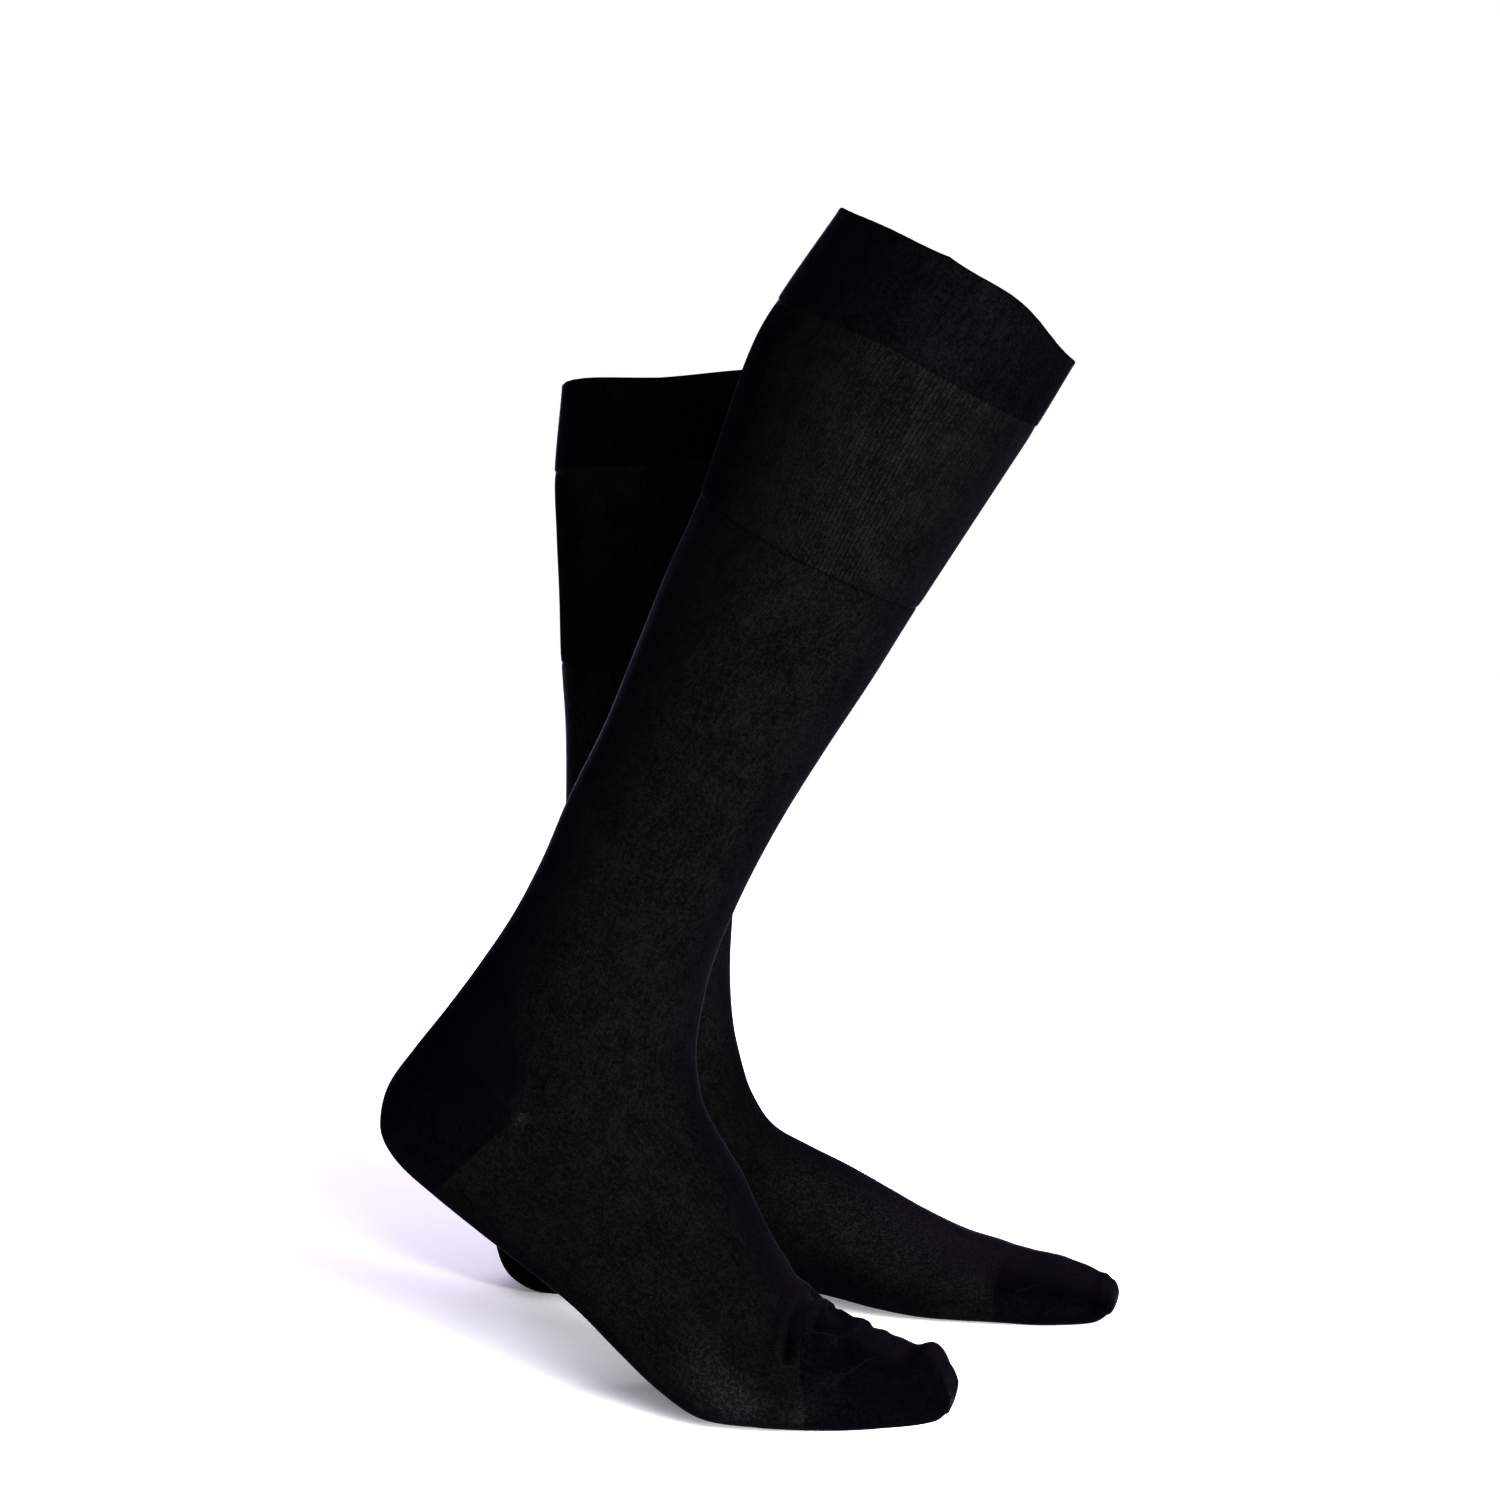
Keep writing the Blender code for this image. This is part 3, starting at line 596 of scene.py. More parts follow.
class Finish:
    """Builds one material's nodes."""

    def __init__(self, name):
        self.material = bpy.data.materials.new(name)
        self.material.use_nodes = True
        self.tree = self.material.node_tree
        self.shader = self.tree.nodes["Principled BSDF"]

    def feed(self, socket, value):
        if isinstance(value, bpy.types.NodeSocket):
            self.tree.links.new(value, socket)
        elif value is not None:
            socket.default_value = value

    def surface(self, values):
        """Sets the shader's sockets, or links what varies."""
        for name, value in values.items():
            self.feed(self.shader.inputs[name], value)

    def node(self, kind, *values, **settings):
        node = self.tree.nodes.new(kind)
        for name, value in settings.items():
            setattr(node, name, value)
        for socket, value in zip(node.inputs, values):
            self.feed(socket, value)
        return node

    def place(self):
        return self.node("ShaderNodeTexCoord").outputs["Object"]

    def attribute(self, name):
        return self.node("ShaderNodeAttribute", attribute_name=name).outputs["Fac"]

    def math(self, operation, *values, clamp=False):
        return self.node("ShaderNodeMath", *values, operation=operation, use_clamp=clamp).outputs[0]

    def times(self, first, second):
        return self.math("MULTIPLY", first, second)

    def scaled(self, value, factor, offset):
        return self.math("MULTIPLY_ADD", value, factor, offset)

    def cosine(self, turns):
        return self.math("COSINE", self.times(turns, 2 * math.pi))

    def ramp(self, value, low, high, to_low=0.0, to_high=1.0):
        values = (value, low, high, to_low, to_high)
        return self.node("ShaderNodeMapRange", *values, interpolation_type="SMOOTHSTEP").outputs[0]

    def noise(self, vector, scale, detail, roughness):
        node = self.node("ShaderNodeTexNoise")
        self.feed(node.inputs["Vector"], vector)
        node.inputs["Scale"].default_value = scale
        node.inputs["Detail"].default_value = detail
        node.inputs["Roughness"].default_value = roughness
        return node.outputs["Fac"]

    def patches(self, vector, scale, detail, roughness, low=0.3):
        """Noise spread out until it runs the whole way from 0 to 1."""
        return self.ramp(self.noise(vector, scale, detail, roughness), low, 0.7)

    def blend(self, factor, first, second):
        node = self.node("ShaderNodeMix", data_type="RGBA")
        self.feed(node.inputs["Factor"], factor)
        colours = [socket for socket in node.inputs if socket.type == "RGBA"]
        self.feed(colours[0], first)
        self.feed(colours[1], second)
        return next(socket for socket in node.outputs if socket.type == "RGBA")

    def bump(self, strength, distance, height):
        node = self.node("ShaderNodeBump")
        node.inputs["Strength"].default_value = strength
        node.inputs["Distance"].default_value = distance
        self.feed(node.inputs["Height"], height)
        self.surface({"Normal": node.outputs[0]})


def shade(colour, amount=1.0):
    return (colour[0] * amount, colour[1] * amount, colour[2] * amount, 1.0)


# Scales of the noises, in repeats to the metre
CLOUDS = 55.0
MOTTLE = 170.0
SPECKS = 760.0
WANDER = 900.0
FIBRES = 3500.0
THREAD_FUZZ = 4000.0
# Streaks to the wale, and how much slower they change down the courses
STREAKS = 0.9
STREAK_SLOWNESS = 0.07
# How far a stitch's legs slope, in courses for each wale
STITCH_SLOPE = 1.3
# Shades of the yarn: darkest and lightest patches, painted shade in the gaps between stitches, and
# painted shade in creases and a dark seam
DARK_PATCH, LIGHT_PATCH = 0.25, 1.8
PAINTED_GAP_SHADE = 0.3
PAINTED_CREASE_SHADE_AND_SEAM_TONE = 0.12
# How much lighter than the jersey the cloth is where the knit is pulled open, and where light is
# painted on
THIN_KNIT_AND_PAINTED_LIGHT_SHADE = 6.0
# What is left of the relief and the gloss on doubled or reinforced knit
DOUBLED_RELIEF = 0.6
DOUBLED_GLOSS = 0.45
# How fast the linking thread's plies turn, in radians to the metre
PLY_TWIST = 9000.0


def knit_finish(name, colour, yarn, ribbed=False, doubled=False):
    """Fine knit: V stitches from the piece's own map, whose u counts wales and v counts courses."""
    finish = Finish(name)
    knit_map = finish.node("ShaderNodeUVMap", uv_map="knit").outputs[0]
    wale, course = finish.node("ShaderNodeSeparateXYZ", knit_map).outputs[:2]
    place = finish.place()
    uneven = finish.scaled(finish.noise(place, WANDER, 2.0, 0.6), 0.5, course)
    side = finish.math("ABSOLUTE", finish.math("SUBTRACT", finish.math("FRACT", wale), 0.5))
    leg = finish.math("MAXIMUM", finish.cosine(finish.math("SUBTRACT", side, 0.25)), 0.0)
    loop = finish.cosine(finish.math("SUBTRACT", uneven, finish.times(side, STITCH_SLOPE)))
    stitch = finish.times(leg, finish.scaled(loop, 0.3, 0.7))
    fibre = finish.noise(place, FIBRES, 3.0, 0.7)
    relief = yarn.stitch_strength * (DOUBLED_RELIEF if doubled else 1.0)
    finish.bump(relief, yarn.stitch_height, finish.scaled(fibre, 0.35, stitch))

    # Streaks down the wales, cloudy patches, and painted shade in the gaps between the stitches
    # and, on the rib, between the ribs
    streak_place = finish.node("ShaderNodeCombineXYZ", wale, finish.times(course, STREAK_SLOWNESS))
    streaks = finish.patches(streak_place.outputs[0], STREAKS, 3.0, 0.65)
    mottle = finish.patches(place, MOTTLE, 2.0, 0.6)
    specks = finish.patches(place, SPECKS, 2.0, 0.7, 0.35)
    patchy = finish.times(finish.patches(place, CLOUDS, 3.0, 0.6), 0.18)
    for pattern, share in ((streaks, 0.2), (mottle, 0.17), (specks, 0.45)):
        patchy = finish.scaled(pattern, share, patchy)
    even = finish.blend(patchy, shade(colour, DARK_PATCH), shade(colour, LIGHT_PATCH))
    painted_gap_shade = finish.ramp(stitch, 0.0, 0.55, 0.45, 0.0)
    if ribbed:
        painted_gap_shade = finish.math("MAXIMUM", painted_gap_shade, finish.ramp(side, 0.2, 0.5, 0.0, 0.8))
    knitted = finish.blend(painted_gap_shade, even, shade(colour, PAINTED_GAP_SHADE))

    # Places pulled open show lighter in spots and rungs, and gathered ones as the darker yarn; the
    # same marks also paint light and shade
    stretched = finish.attribute("stretched")
    rungs = finish.ramp(finish.cosine(uneven), -0.2, 0.9, 0.35, 1.0)
    spotty = finish.times(rungs, finish.ramp(specks, 0.2, 0.9, 0.3, 1.0))
    thin_and_painted_light = finish.times(finish.math("MAXIMUM", stretched, 0.0), spotty)
    knitted = finish.blend(thin_and_painted_light, knitted, shade(yarn.jersey, THIN_KNIT_AND_PAINTED_LIGHT_SHADE))
    bunched_and_painted_shade = finish.math("MULTIPLY", finish.math("MINIMUM", stretched, 0.0), -1.0, clamp=True)
    knitted = finish.blend(bunched_and_painted_shade, knitted, shade(yarn.dense))
    # Painted shade darkens the creases; the course line is darkened along the seam
    creased = finish.attribute("creased")
    knitted = finish.blend(creased, knitted, shade(colour, PAINTED_CREASE_SHADE_AND_SEAM_TONE))
    seam = finish.ramp(finish.math("ABSOLUTE", course), 0.3, 1.2, 0.5, 0.0)
    knitted = finish.blend(seam, knitted, shade(colour, PAINTED_CREASE_SHADE_AND_SEAM_TONE))

    # Creases, gaps and the darker spots lose their gloss, and so does cloth seen at a slant, but
    # for the fuzz at its very edge
    lost = finish.math("MAXIMUM", creased, finish.times(bunched_and_painted_shade, 0.55))
    shine = finish.math("SUBTRACT", 1.0, lost)
    shine = finish.times(shine, finish.scaled(painted_gap_shade, -0.6, 1.0))
    facing = finish.node("ShaderNodeLayerWeight").outputs["Facing"]
    slant = finish.ramp(facing, 0.12, 0.6, 1.0, 0.15)
    fuzz = finish.ramp(facing, 0.84, 0.96, 0.0, 3.0)
    shine = finish.times(shine, finish.math("ADD", slant, fuzz))
    gloss = yarn.gloss * (DOUBLED_GLOSS if doubled else 1.0)
    lively = finish.ramp(patchy, 0.2, 0.8, 0.45 * gloss, 1.55 * gloss)
    finish.surface({
        "Base Color": knitted,
        "Roughness": finish.ramp(fibre, 0.3, 0.7, 0.5, 0.66),
        "Specular IOR Level": finish.times(shine, lively),
        "Sheen Weight": yarn.sheen,
        "Sheen Roughness": 0.4,
        "Sheen Tint": shade(yarn.sheen_colour),
    })
    return finish.material


def thread_finish(name, yarn):
    """Linking thread: two plies that turn round each other along every stitch."""
    finish = Finish(name)
    place = finish.place()
    split = finish.node("ShaderNodeSeparateXYZ", place)
    along = finish.math("ADD", split.outputs[0], split.outputs[2])
    ply = finish.math("SINE", finish.times(along, PLY_TWIST))
    fuzz = finish.noise(place, THREAD_FUZZ, 2.0, 0.6)
    finish.bump(0.6, 0.0001, finish.scaled(fuzz, 0.6, ply))
    tone = finish.ramp(fuzz, 0.3, 0.7)
    finish.surface({
        "Base Color": finish.blend(tone, shade(yarn.thread, 0.7), shade(yarn.thread, 1.3)),
        "Roughness": 0.85,
        "Specular IOR Level": 0.6 * yarn.gloss,
    })
    return finish.material


# ------------------------------------------------ settings


class SOCKS_PG_yarn(bpy.types.PropertyGroup):
    jersey: FloatVectorProperty(
        name="Jersey",
        description="Colour of the leg and foot",
        subtype="COLOR",
        default=(0.0019, 0.0018, 0.0019),
    )
    rib: FloatVectorProperty(
        name="Rib",
        description="Colour of the ribbed top",
        subtype="COLOR",
        default=(0.0031, 0.0030, 0.0031),
    )
    welt: FloatVectorProperty(
        name="Welt",
        description="Colour of the doubled welt",
        subtype="COLOR",
        default=(0.0014, 0.0012, 0.0016),
    )
    dense: FloatVectorProperty(
        name="Heel and toe",
        description="Colour of the reinforced heel and toe",
        subtype="COLOR",
        default=(0.0009, 0.0007, 0.0013),
    )
    thread: FloatVectorProperty(
        name="Linking thread",
        description="Colour of the linking and gore stitches",
        subtype="COLOR",
        default=(0.0030, 0.0028, 0.0036),
    )
    sheen_colour: FloatVectorProperty(
        name="Sheen",
        description="Tint of the fine fuzz at the edges",
        subtype="COLOR",
        default=(0.62, 0.50, 0.95),
    )
    sheen: FloatProperty(
        name="Sheen weight", description="How much the fuzz shows", default=0.009, min=0.0, max=1.0
    )
    gloss: FloatProperty(
        name="Gloss", description="Specular level of the yarn", default=0.029, min=0.0, max=1.0
    )
    stitch_height: FloatProperty(
        name="Stitch height",
        description="How far a stitch stands up",
        default=0.00022,
        min=0.0,
        unit="LENGTH",
        precision=5,
    )
    stitch_strength: FloatProperty(
        name="Stitch strength",
        description="Strength of the stitches' relief",
        default=0.8,
        min=0.0,
        max=1.0,
    )
    course_height: FloatProperty(
        name="Course height",
        description="Height of one row of stitches, in millimetres",
        default=0.86,
        min=0.3,
        max=3.0,
    )


class SOCKS_PG_cloth(bpy.types.PropertyGroup):
    thickness: FloatProperty(
        name="Cloth thickness",
        description="Thickness of one layer of the knit",
        default=0.0008,
        min=0.0002,
        max=0.003,
        unit="LENGTH",
        precision=5,
    )
    rib_height: FloatProperty(
        name="Rib height",
        description="Height of the ribs, in millimetres",
        default=0.5,
        min=0.0,
        max=2.0,
    )
    welt_proud: FloatProperty(
        name="Welt stands proud",
        description="How far the doubled welt stands off the ribbed top, in millimetres",
        default=0.4,
        min=0.0,
        max=2.0,
    )
    welt_gap: FloatProperty(
        name="Welt layers",
        description="How deep the welt's inner layer lies, in millimetres",
        default=1.4,
        min=0.8,
        max=3.0,
    )
    row_height: FloatProperty(
        name="Row height",
        description="Distance between the mesh's rings on the leg, in millimetres",
        default=2.6,
        min=1.0,
        max=10.0,
    )


class SOCKS_PG_studio(bpy.types.PropertyGroup):
    backdrop: FloatVectorProperty(
        name="Backdrop",
        description="Colour behind the floor",
        subtype="COLOR",
        default=(1.0, 1.0, 1.0),
    )
    floor: FloatVectorProperty(
        name="Floor", description="Colour of the floor", subtype="COLOR", default=(0.86, 0.86, 0.88)
    )
    fill: FloatVectorProperty(
        name="Fill",
        description="Colour of the light from all round",
        subtype="COLOR",
        default=(0.04, 0.025, 0.07),
    )
    # The floor's glow is painted light from a floor that is no lamp
    glow: FloatProperty(
        name="Floor glow",
        description="Light that comes up through the floor",
        default=0.5,
        min=0.0,
        max=2.0,
    )
    key_power: FloatProperty(
        name="Key light",
        description="Power of the soft key light",
        default=150.0,
        min=0.0,
        unit="POWER",
    )
    right_power: FloatProperty(
        name="Right rim light",
        description="Power of the light behind on the right",
        default=4.5,
        min=0.0,
        unit="POWER",
    )
    left_power: FloatProperty(
        name="Left rim light",
        description="Power of the light behind on the left",
        default=13.0,
        min=0.0,
        unit="POWER",
    )
    top_power: FloatProperty(
        name="Top light", description="Strength of the soft light overhead", default=1.8, min=0.0
    )
    lens: FloatProperty(
        name="Lens",
        description="Focal length in millimetres",
        default=87.6,
        min=10.0,
        unit="CAMERA",
    )


# ------------------------------------------------ pieces

# The cuff's two materials and the leg's three, in the order of their slots
WELT, RIB = range(2)
JERSEY, HEEL, TOE = range(3)

# How the cuff's cloth runs at its edges, in millimetres: how far past the rim, the welt's edge or
# the course line, and how far off the wall
OVER_RIM = ((0.35, -1.15), (0.0, -0.5), (0.3, 0.15))
OFF_WELT = ((-0.15, 0.3), (0.1, 0.0))
INTO_COURSE_LINE = ((-0.9, -0.05), (-0.4, -0.2), (0.0, -0.3))
# The leg's cloth starts under the ribbed top and comes out from under it
FROM_COURSE_LINE = ((-2.2, -1.2), (-0.7, -1.15), (0.0, -0.31), (0.5, -0.2), (1.2, -0.05))

# Rings on each layer of the welt, and the relief of its rib
WELT_RINGS = 15
WELT_RIB = 0.12
# The rim's crimp: waves of a height, so many round, that fade this far down
RIM_CRIMP = ((0.12, 37), (0.1, 61))
CRIMP_REACH = 2.5

# The toe's end: how far it bulges ahead of its last ring, in how many rings and courses, how much
# of its width is linked, and how many rings back its direction is taken from
TIP_LENGTH = 2.8
TIP_STEPS = 7
TIP_STEP = 0.6
LINK_SHARE = 0.5
TIP_LOOKS_BACK = 6


def course_of(distance, yarn):
    return distance / yarn.course_height


def from_edge(edge, way):
    return [(edge + past, lift) for past, lift in way]


def cuff(sock, yarn, cloth):
    """Welt and ribbed top in one run of cloth: up inside the welt, over the rim and down."""
    skin = skins(sock)[0]
    welt_edge = named_distance(sock.leg, skin, "welt_edge")
    course_line = named_distance(sock.leg, skin, "course")
    column = np.arange(COLUMNS)
    crest = np.where(column % 2 == 1, 0.5, -0.5)
    crimp = sum(
        height * np.sin(column * 2 * math.pi * round_it / COLUMNS) for height, round_it in RIM_CRIMP
    )
    inside, proud = -cloth.welt_gap, cloth.welt_proud
    inner_end = welt_edge - 1.0
    path = [(distance, inside) for distance in np.linspace(inner_end, 2.0, WELT_RINGS)]
    path += [(1.0, inside + 0.05), *OVER_RIM, (1.0, proud)]
    path += [(distance, proud) for distance in np.linspace(3.0, welt_edge - 1.4, WELT_RINGS)]
    rib_start = len(path) + 2
    path += [(welt_edge - 0.7, proud), *from_edge(welt_edge, OFF_WELT)]
    ribs_rise = len(path)
    rows = int((course_line - welt_edge) / cloth.row_height)
    path += [
        (distance, 0.0) for distance in np.linspace(welt_edge + 0.9, course_line - 1.6, rows)
    ]
    path += from_edge(course_line, INTO_COURSE_LINE)

    knitting = Knitting(1)
    walked = -course_line - inner_end
    last = inner_end
    for number, (distance, lift) in enumerate(path):
        window = clamped((distance - welt_edge - 0.5) / 4) * clamped((course_line - distance) / 3)
        ribs = (cloth.rib_height * window if number >= ribs_rise else WELT_RIB) * crest
        near_rim = math.exp(-((distance / CRIMP_REACH) ** 2))
        ring = skin.ring_at(max(distance, 0.0), lift + ribs + crimp * near_rim)
        walked += abs(distance - last)
        last = distance
        course = course_of(walked, yarn)
        if number == 0:
            knitting.cast_on(ring, course)
        else:
            knitting.knit(ring, course, WELT if number < rib_start else RIB)
    return knitting.finish(f"{sock.name}_cuff_knit", skin, (welt_edge + course_line) / 2)


def leg_and_foot(sock, yarn, cloth):
    """Leg, heel, foot and toe in one run of cloth, closed over the toes."""
    leg, heel, foot = skins(sock)
    foot_sections = sock.foot + sock.toe
    course_line = named_distance(sock.leg, leg, "course")
    toe_line = named_distance(foot_sections, foot, "toe_line")
    creased_from = named_distance(foot_sections, foot, CREASED_FROM)
    leg_length = leg.length - course_line
    knitting = Knitting(2)
    for number, (past, lift) in enumerate(FROM_COURSE_LINE):
        add_ring = knitting.knit if number else knitting.cast_on
        add_ring(leg.ring_at(course_line + past, lift), course_of(past, yarn))
    rows = int(leg_length / cloth.row_height)
    for distance in np.linspace(course_line + 2.2, leg.length, rows):
        knitting.knit(leg.ring_at(distance), course_of(distance - course_line, yarn))

    back = COLUMNS // 2
    rings, courses = [], []
    walked = leg_length
    last = leg.points[-1][back]
    for row in range(2, len(heel.points), 2):
        walked += np.linalg.norm(heel.points[row][back] - last)
        last = heel.points[row][back]
        rings.append(placed(heel.points[row]))
        courses.append(course_of(walked, yarn))
    knitting.turn_heel(rings, courses, HEEL)

    done = 0.0
    for row in range(1, len(foot.points)):
        least = CREASED_STEP if done > creased_from else FOOT_STEP
        if foot.down[row] - done < least and row + 1 < len(foot.points):
            continue
        done = foot.down[row]
        slot = TOE if done > toe_line + 0.5 else JERSEY
        course = course_of(leg_length + done, yarn)
        knitting.knit(placed(foot.points[row]), course, slot, foot.creased[row])
    tip_ring = placed(foot.points[-1])
    mirrored = tip_ring[(COLUMNS // 2 - np.arange(COLUMNS)) % COLUMNS]
    line = (tip_ring + mirrored) / 2
    line = line.mean(axis=0) + LINK_SHARE * (line - line.mean(axis=0))
    ahead = tip_ring.mean(axis=0) - placed(foot.points[-TIP_LOOKS_BACK].mean(axis=0))
    ahead = ahead / np.linalg.norm(ahead) * TIP_LENGTH * MM
    for step in range(1, TIP_STEPS + 1):
        angle = step / TIP_STEPS * math.pi / 2
        open_share = math.cos(angle) if step < TIP_STEPS else 0
        ring = line + (tip_ring - line) * open_share + ahead * math.sin(angle)
        knitting.knit(ring, course_of(leg_length + foot.length + TIP_STEP * step, yarn), TOE)
    knitting.bind_off()
    knitting.place_stretch_and_painted_light(sock)
    return knitting.finish(f"{sock.name}_leg_and_foot_knit", leg, (course_line + leg.length) / 2)


# The linking line's way from each side to the middle of the toes: how far round from the top, in
# degrees, and how far past the toe line, in millimetres
LINKING_WAY = (
    (80, 8.2), (72, 14.6), (63, 20.0), (55, 24.0), (41, 28.5), (22, 32.9), (0, 34.2)
)
LINKING_POINTS = 92
# A linking stitch's width, height and sway to the sides of the line, in metres
LINK_WIDTH, LINK_HEIGHT, LINK_SWAY = 0.0008, 0.0004, 0.00018
# The pulled stitches at a gore point: how far down and aside, in millimetres, and their turn
PULLED_STITCHES = (
    (0.4, 0.0, 0.5), (-0.5, 0.7, -0.4), (0.9, -0.9, 0.9), (-1.4, -0.5, 0.2), (1.9, 0.6, -0.7)
)
PULLED_WIDTH, PULLED_HEIGHT = 0.0006, 0.0005


def stitch_bead(mesh, start, end, normal, width, height):
    """One short stitch that lies on the cloth from start to end."""
    along = end - start
    made = bmesh.ops.create_uvsphere(mesh, u_segments=8, v_segments=5, radius=0.5)
    across = normal.cross(along).normalized()
    up = along.cross(across).normalized()
    turn = Matrix((across * width, up * height, along * 1.1)).transposed().to_4x4()
    turn.translation = (start + end) / 2 + normal * height * 0.2
    bmesh.ops.transform(mesh, matrix=turn, verts=made["verts"])


def linking_path(foot, toe_line):
    """Points and normals of the linking line: up from each side and across the toes."""
    other_side = tuple((-degrees, past) for degrees, past in LINKING_WAY[-2::-1])
    way = [(degrees * COLUMNS / 360, past) for degrees, past in LINKING_WAY + other_side]
    at = np.linspace(0, len(way) - 1, LINKING_POINTS)
    columns, distances = (np.interp(at, range(len(way)), values) for values in zip(*way))
    soft = np.convolve(np.pad(distances, 3, mode="edge"), np.ones(7) / 7, mode="valid")
    found = []
    for column, distance in zip(columns, toe_line + soft):
        row = min(foot.row_at(distance), len(foot.points) - 1)
        low = math.floor(column)
        part = column - low
        near, far = low % COLUMNS, (low + 1) % COLUMNS
        before, after = (
            foot.points[i][near] * (1 - part) + foot.points[i][far] * part for i in (row - 1, row)
        )
        share = (distance - foot.down[row - 1]) / (foot.down[row] - foot.down[row - 1])
        point = Vector(placed(before + (after - before) * clamped(share)))
        found.append((point, Vector(foot.normals[row][near]).normalized()))
    return found


def linking_stitches(sock, yarn):
    """The line of linking over the toes, and the pulled stitches at the heel's gore points."""
    foot = skins(sock)[2]
    mesh = bmesh.new()
    path = linking_path(foot, named_distance(sock.foot + sock.toe, foot, "toe_line"))
    for number, ((start, normal), (end, _)) in enumerate(zip(path, path[1:])):
        sway = normal.cross(end - start).normalized() * LINK_SWAY * (1 if number % 2 else -1)
        stitch_bead(mesh, start + sway, end - sway, normal, LINK_WIDTH, LINK_HEIGHT)
    for column in (COLUMNS // 4, 3 * COLUMNS // 4):
        gore = Vector(placed(foot.points[0][column]))
        normal = Vector(foot.normals[0][column]).normalized()
        down = Vector(foot.points[2][column] - foot.points[0][column]).normalized()
        across = normal.cross(down)
        for number, (ahead, aside, turn) in enumerate(PULLED_STITCHES):
            middle = gore + (down * ahead + across * aside) * MM
            reach = down * math.cos(turn) + across * math.sin(turn)
            reach = reach * (0.9 - 0.08 * number) * MM
            stitch_bead(mesh, middle - reach, middle + reach, normal, PULLED_WIDTH, PULLED_HEIGHT)
    for face in mesh.faces:
        face.smooth = True
    bmesh.ops.recalc_face_normals(mesh, faces=mesh.faces)
    piece = piece_from(mesh, f"{sock.name}_linking_stitches")
    piece.data.materials.append(thread_finish(f"{sock.name}_linking_thread", yarn))
    return piece


# ------------------------------------------------ operators


class SOCKS_OT_cuffs(bpy.types.Operator):
    """Knits the doubled welt and the ribbed top of both socks"""

    bl_idname = "socks.cuffs"
    bl_label = "Knit cuffs"

    def execute(self, context):
        yarn, cloth = context.scene.sock_yarn, context.scene.sock_cloth
        welt = knit_finish("welt_knit", yarn.welt, yarn, doubled=True)
        rib = knit_finish("ribbed_knit", yarn.rib, yarn, ribbed=True)
        for sock in (LEFT, RIGHT):
            piece = cuff(sock, yarn, cloth)
            for finish in (welt, rib):
                piece.data.materials.append(finish)
            thicken(piece, cloth.thickness)
            put_on(piece, "top", f"{sock.name}_welt", f"{sock.name}_top")
        return {"FINISHED"}


class SOCKS_OT_legs_and_feet(bpy.types.Operator):
    """Knits the leg, heel, foot and toe of both socks"""

    bl_idname = "socks.legs_and_feet"
    bl_label = "Knit legs and feet"

    def execute(self, context):
        yarn, cloth = context.scene.sock_yarn, context.scene.sock_cloth
        jersey = knit_finish("jersey_knit", yarn.jersey, yarn)
        heel = knit_finish("heel_knit", yarn.dense, yarn, doubled=True)
        toe = knit_finish("toe_knit", yarn.dense, yarn, doubled=True)
        for sock in (LEFT, RIGHT):
            piece = leg_and_foot(sock, yarn, cloth)
            for finish in (jersey, heel, toe):
                piece.data.materials.append(finish)
            thicken(piece, cloth.thickness)
            zones = ("leg", "heel", "foot", "toe")
            put_on(piece, "leg", *(f"{sock.name}_{zone}" for zone in zones))
        return {"FINISHED"}


class SOCKS_OT_linking(bpy.types.Operator):
    """Sews the linking line over the toes and the pulled stitches at the heels"""

    bl_idname = "socks.linking"
    bl_label = "Link toes"

    def execute(self, context):
        yarn = context.scene.sock_yarn
        for sock in (LEFT, RIGHT):
            put_on(linking_stitches(sock, yarn), "toe")
        return {"FINISHED"}


# The camera looks along the floor and a little down, turned a little round the socks
CAMERA_PLACE = Vector((0.3220, -1.5140, -0.0305))
CAMERA_TURN = math.radians(11.0)
CAMERA_DIP = math.atan2(300, 3650)
CAMERA_RIGHT = Vector((math.cos(CAMERA_TURN), math.sin(CAMERA_TURN), 0.0))
CAMERA_AHEAD = Vector((-math.sin(CAMERA_TURN), math.cos(CAMERA_TURN), 0.0))
UP = Vector((0, 0, 1))

# Soft lights round the socks' middle: how many degrees to the right of the camera's own side, how
# far over the middle, width and height, and colour
LIGHTS_LOOK_AT = Vector((0.05, -0.1, -0.15))
LIGHTS_REACH = 1.5
SOFT_LIGHTS = {
    "key_power": ("Key", 23, 0.12, (0.7, 0.9), (1, 1, 1)),
    "right_power": ("Right rim", 162, 0.35, (0.5, 1.0), (0.8, 0.65, 1)),
    "left_power": ("Left rim", -162, 0.2, (0.4, 1.2), (0.75, 0.64, 1)),
}
# How wide the overhead light is, and how it is tipped, in degrees
TOP_SPREAD = 70
TOP_TIP = (4, 14)
GAMMA = 0.7

# The floor's half size, and how far from the socks its painted glow starts to grow and is full, in
# metres
FLOOR_REACH = 7.0
GLOW_START, GLOW_FULL = 0.25, 1.1
# The share of the glow that is left under the socks, which paints a soft shadow round them
GLOW_LEFT_IN_PAINTED_SHADOW = 0.56


def light_object(name, lamp):
    light = bpy.data.objects.new(name, lamp)
    bpy.context.scene.collection.objects.link(light)
    return light


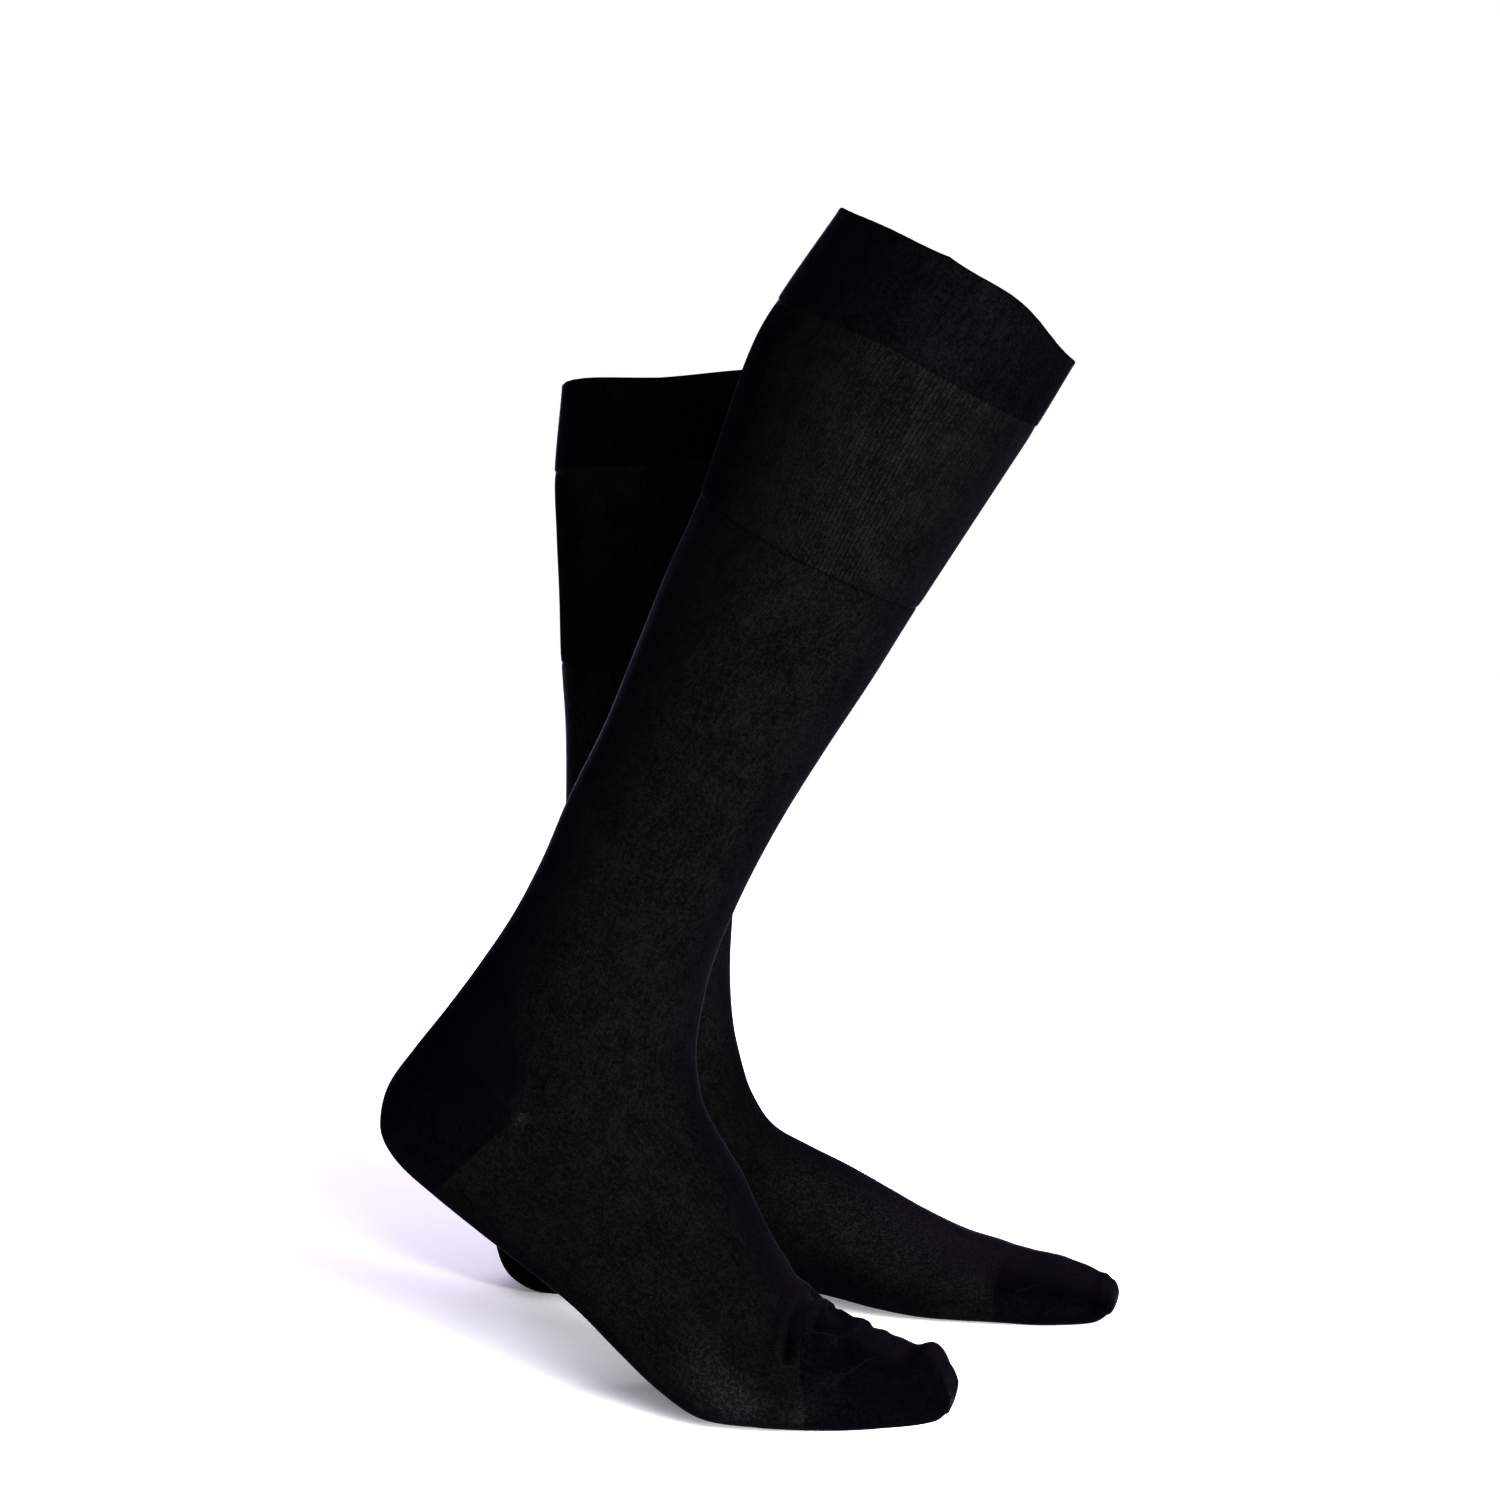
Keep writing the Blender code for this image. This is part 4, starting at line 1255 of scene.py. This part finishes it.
def area_light(power, name, degrees, height, size, colour):
    turn = math.radians(degrees)
    side = CAMERA_RIGHT * math.sin(turn) - CAMERA_AHEAD * math.cos(turn)
    place = LIGHTS_LOOK_AT + side * LIGHTS_REACH + UP * height
    lamp = bpy.data.lights.new(name, "AREA")
    lamp.shape = "RECTANGLE"
    lamp.size, lamp.size_y = size
    lamp.energy = power
    lamp.color = colour
    light = light_object(name, lamp)
    light.location = place
    light.rotation_euler = (LIGHTS_LOOK_AT - place).to_track_quat("-Z", "Y").to_euler()


def set_camera(scene, lens):
    camera_data = bpy.data.cameras.new("Camera")
    camera_data.lens = lens
    camera_data.sensor_width = 36.0
    camera = bpy.data.objects.new("Camera", camera_data)
    ahead = CAMERA_AHEAD * math.cos(CAMERA_DIP) - UP * math.sin(CAMERA_DIP)
    up = CAMERA_AHEAD * math.sin(CAMERA_DIP) + UP * math.cos(CAMERA_DIP)
    turn = Matrix((CAMERA_RIGHT, up, -ahead)).transposed().to_4x4()
    turn.translation = CAMERA_PLACE
    camera.matrix_world = turn
    scene.collection.objects.link(camera)
    scene.camera = camera


def lay_floor(studio):
    mesh = bmesh.new()
    bmesh.ops.create_grid(mesh, x_segments=8, y_segments=8, size=FLOOR_REACH)
    bmesh.ops.translate(mesh, verts=mesh.verts, vec=(0, 0, FLOOR_Z))
    floor = piece_from(mesh, "studio_floor")
    # The floor glows though it is no lamp: painted light, dimmed round the socks as a painted
    # shadow
    finish = Finish("studio_paper")
    place = finish.place()
    grain = finish.patches(place, 14.0, 3.0, 0.5)
    under = (0.0, 0.0, FLOOR_Z)
    reach = finish.node("ShaderNodeVectorMath", place, under, operation="DISTANCE").outputs["Value"]
    finish.surface({
        "Base Color": finish.blend(grain, shade(studio.floor, 0.99), shade(studio.floor, 1.01)),
        "Roughness": 0.9,
        "Specular IOR Level": 0.0,
        "Emission Color": (1.0, 1.0, 1.0, 1.0),
        "Emission Strength": finish.ramp(
            reach, GLOW_START, GLOW_FULL, GLOW_LEFT_IN_PAINTED_SHADOW * studio.glow, studio.glow
        ),
    })
    floor.data.materials.append(finish.material)


def set_surroundings(scene, studio):
    """Lights the socks with the fill, and shows the camera the backdrop."""
    scene.world = bpy.data.worlds.new("Studio")
    scene.world.use_nodes = True
    tree = scene.world.node_tree
    surroundings = tree.nodes["Background"]
    surroundings.inputs["Color"].default_value = shade(studio.fill)
    seen = tree.nodes.new("ShaderNodeBackground")
    seen.inputs["Color"].default_value = shade(studio.backdrop)
    path = tree.nodes.new("ShaderNodeLightPath")
    mix = tree.nodes.new("ShaderNodeMixShader")
    tree.links.new(path.outputs["Is Camera Ray"], mix.inputs[0])
    tree.links.new(surroundings.outputs[0], mix.inputs[1])
    tree.links.new(seen.outputs[0], mix.inputs[2])
    tree.links.new(mix.outputs[0], tree.nodes["World Output"].inputs[0])


class SOCKS_OT_studio(bpy.types.Operator):
    """Sets the camera, a pale floor and soft lights"""

    bl_idname = "socks.studio"
    bl_label = "Set studio"

    def execute(self, context):
        scene, studio = context.scene, context.scene.sock_studio
        set_camera(scene, studio.lens)
        scene.view_settings.view_transform = "Standard"
        scene.view_settings.gamma = GAMMA
        lay_floor(studio)
        set_surroundings(scene, studio)
        for setting, light in SOFT_LIGHTS.items():
            area_light(getattr(studio, setting), *light)
        overhead = bpy.data.lights.new("Top", "SUN")
        overhead.energy = studio.top_power
        overhead.angle = math.radians(TOP_SPREAD)
        top = light_object("Top", overhead)
        top.rotation_euler = (*(math.radians(tip) for tip in TOP_TIP), 0.0)
        return {"FINISHED"}


class SOCKS_PT_panel(bpy.types.Panel):
    bl_label = "Dress Socks"
    bl_idname = "SOCKS_PT_panel"
    bl_space_type = "VIEW_3D"
    bl_region_type = "UI"
    bl_category = "Socks"

    def draw(self, context):
        layout = self.layout
        for operator in OPERATORS:
            layout.operator(operator.bl_idname)
        for group in GROUPS:
            settings = getattr(context.scene, group)
            box = layout.box()
            for name in settings.__annotations__:
                box.prop(settings, name)


OPERATORS = (SOCKS_OT_legs_and_feet, SOCKS_OT_cuffs, SOCKS_OT_linking, SOCKS_OT_studio)
GROUPS = {"sock_yarn": SOCKS_PG_yarn, "sock_cloth": SOCKS_PG_cloth, "sock_studio": SOCKS_PG_studio}
CLASSES = (*GROUPS.values(), *OPERATORS, SOCKS_PT_panel)


def register():
    for cls in CLASSES:
        bpy.utils.register_class(cls)
    for name, group in GROUPS.items():
        setattr(bpy.types.Scene, name, PointerProperty(type=group))


def unregister():
    for name in GROUPS:
        delattr(bpy.types.Scene, name)
    for cls in reversed(CLASSES):
        bpy.utils.unregister_class(cls)


def main():
    register()
    bpy.ops.socks.legs_and_feet()
    bpy.ops.socks.cuffs()
    bpy.ops.socks.linking()
    bpy.ops.socks.studio()


if __name__ == "__main__":
    main()
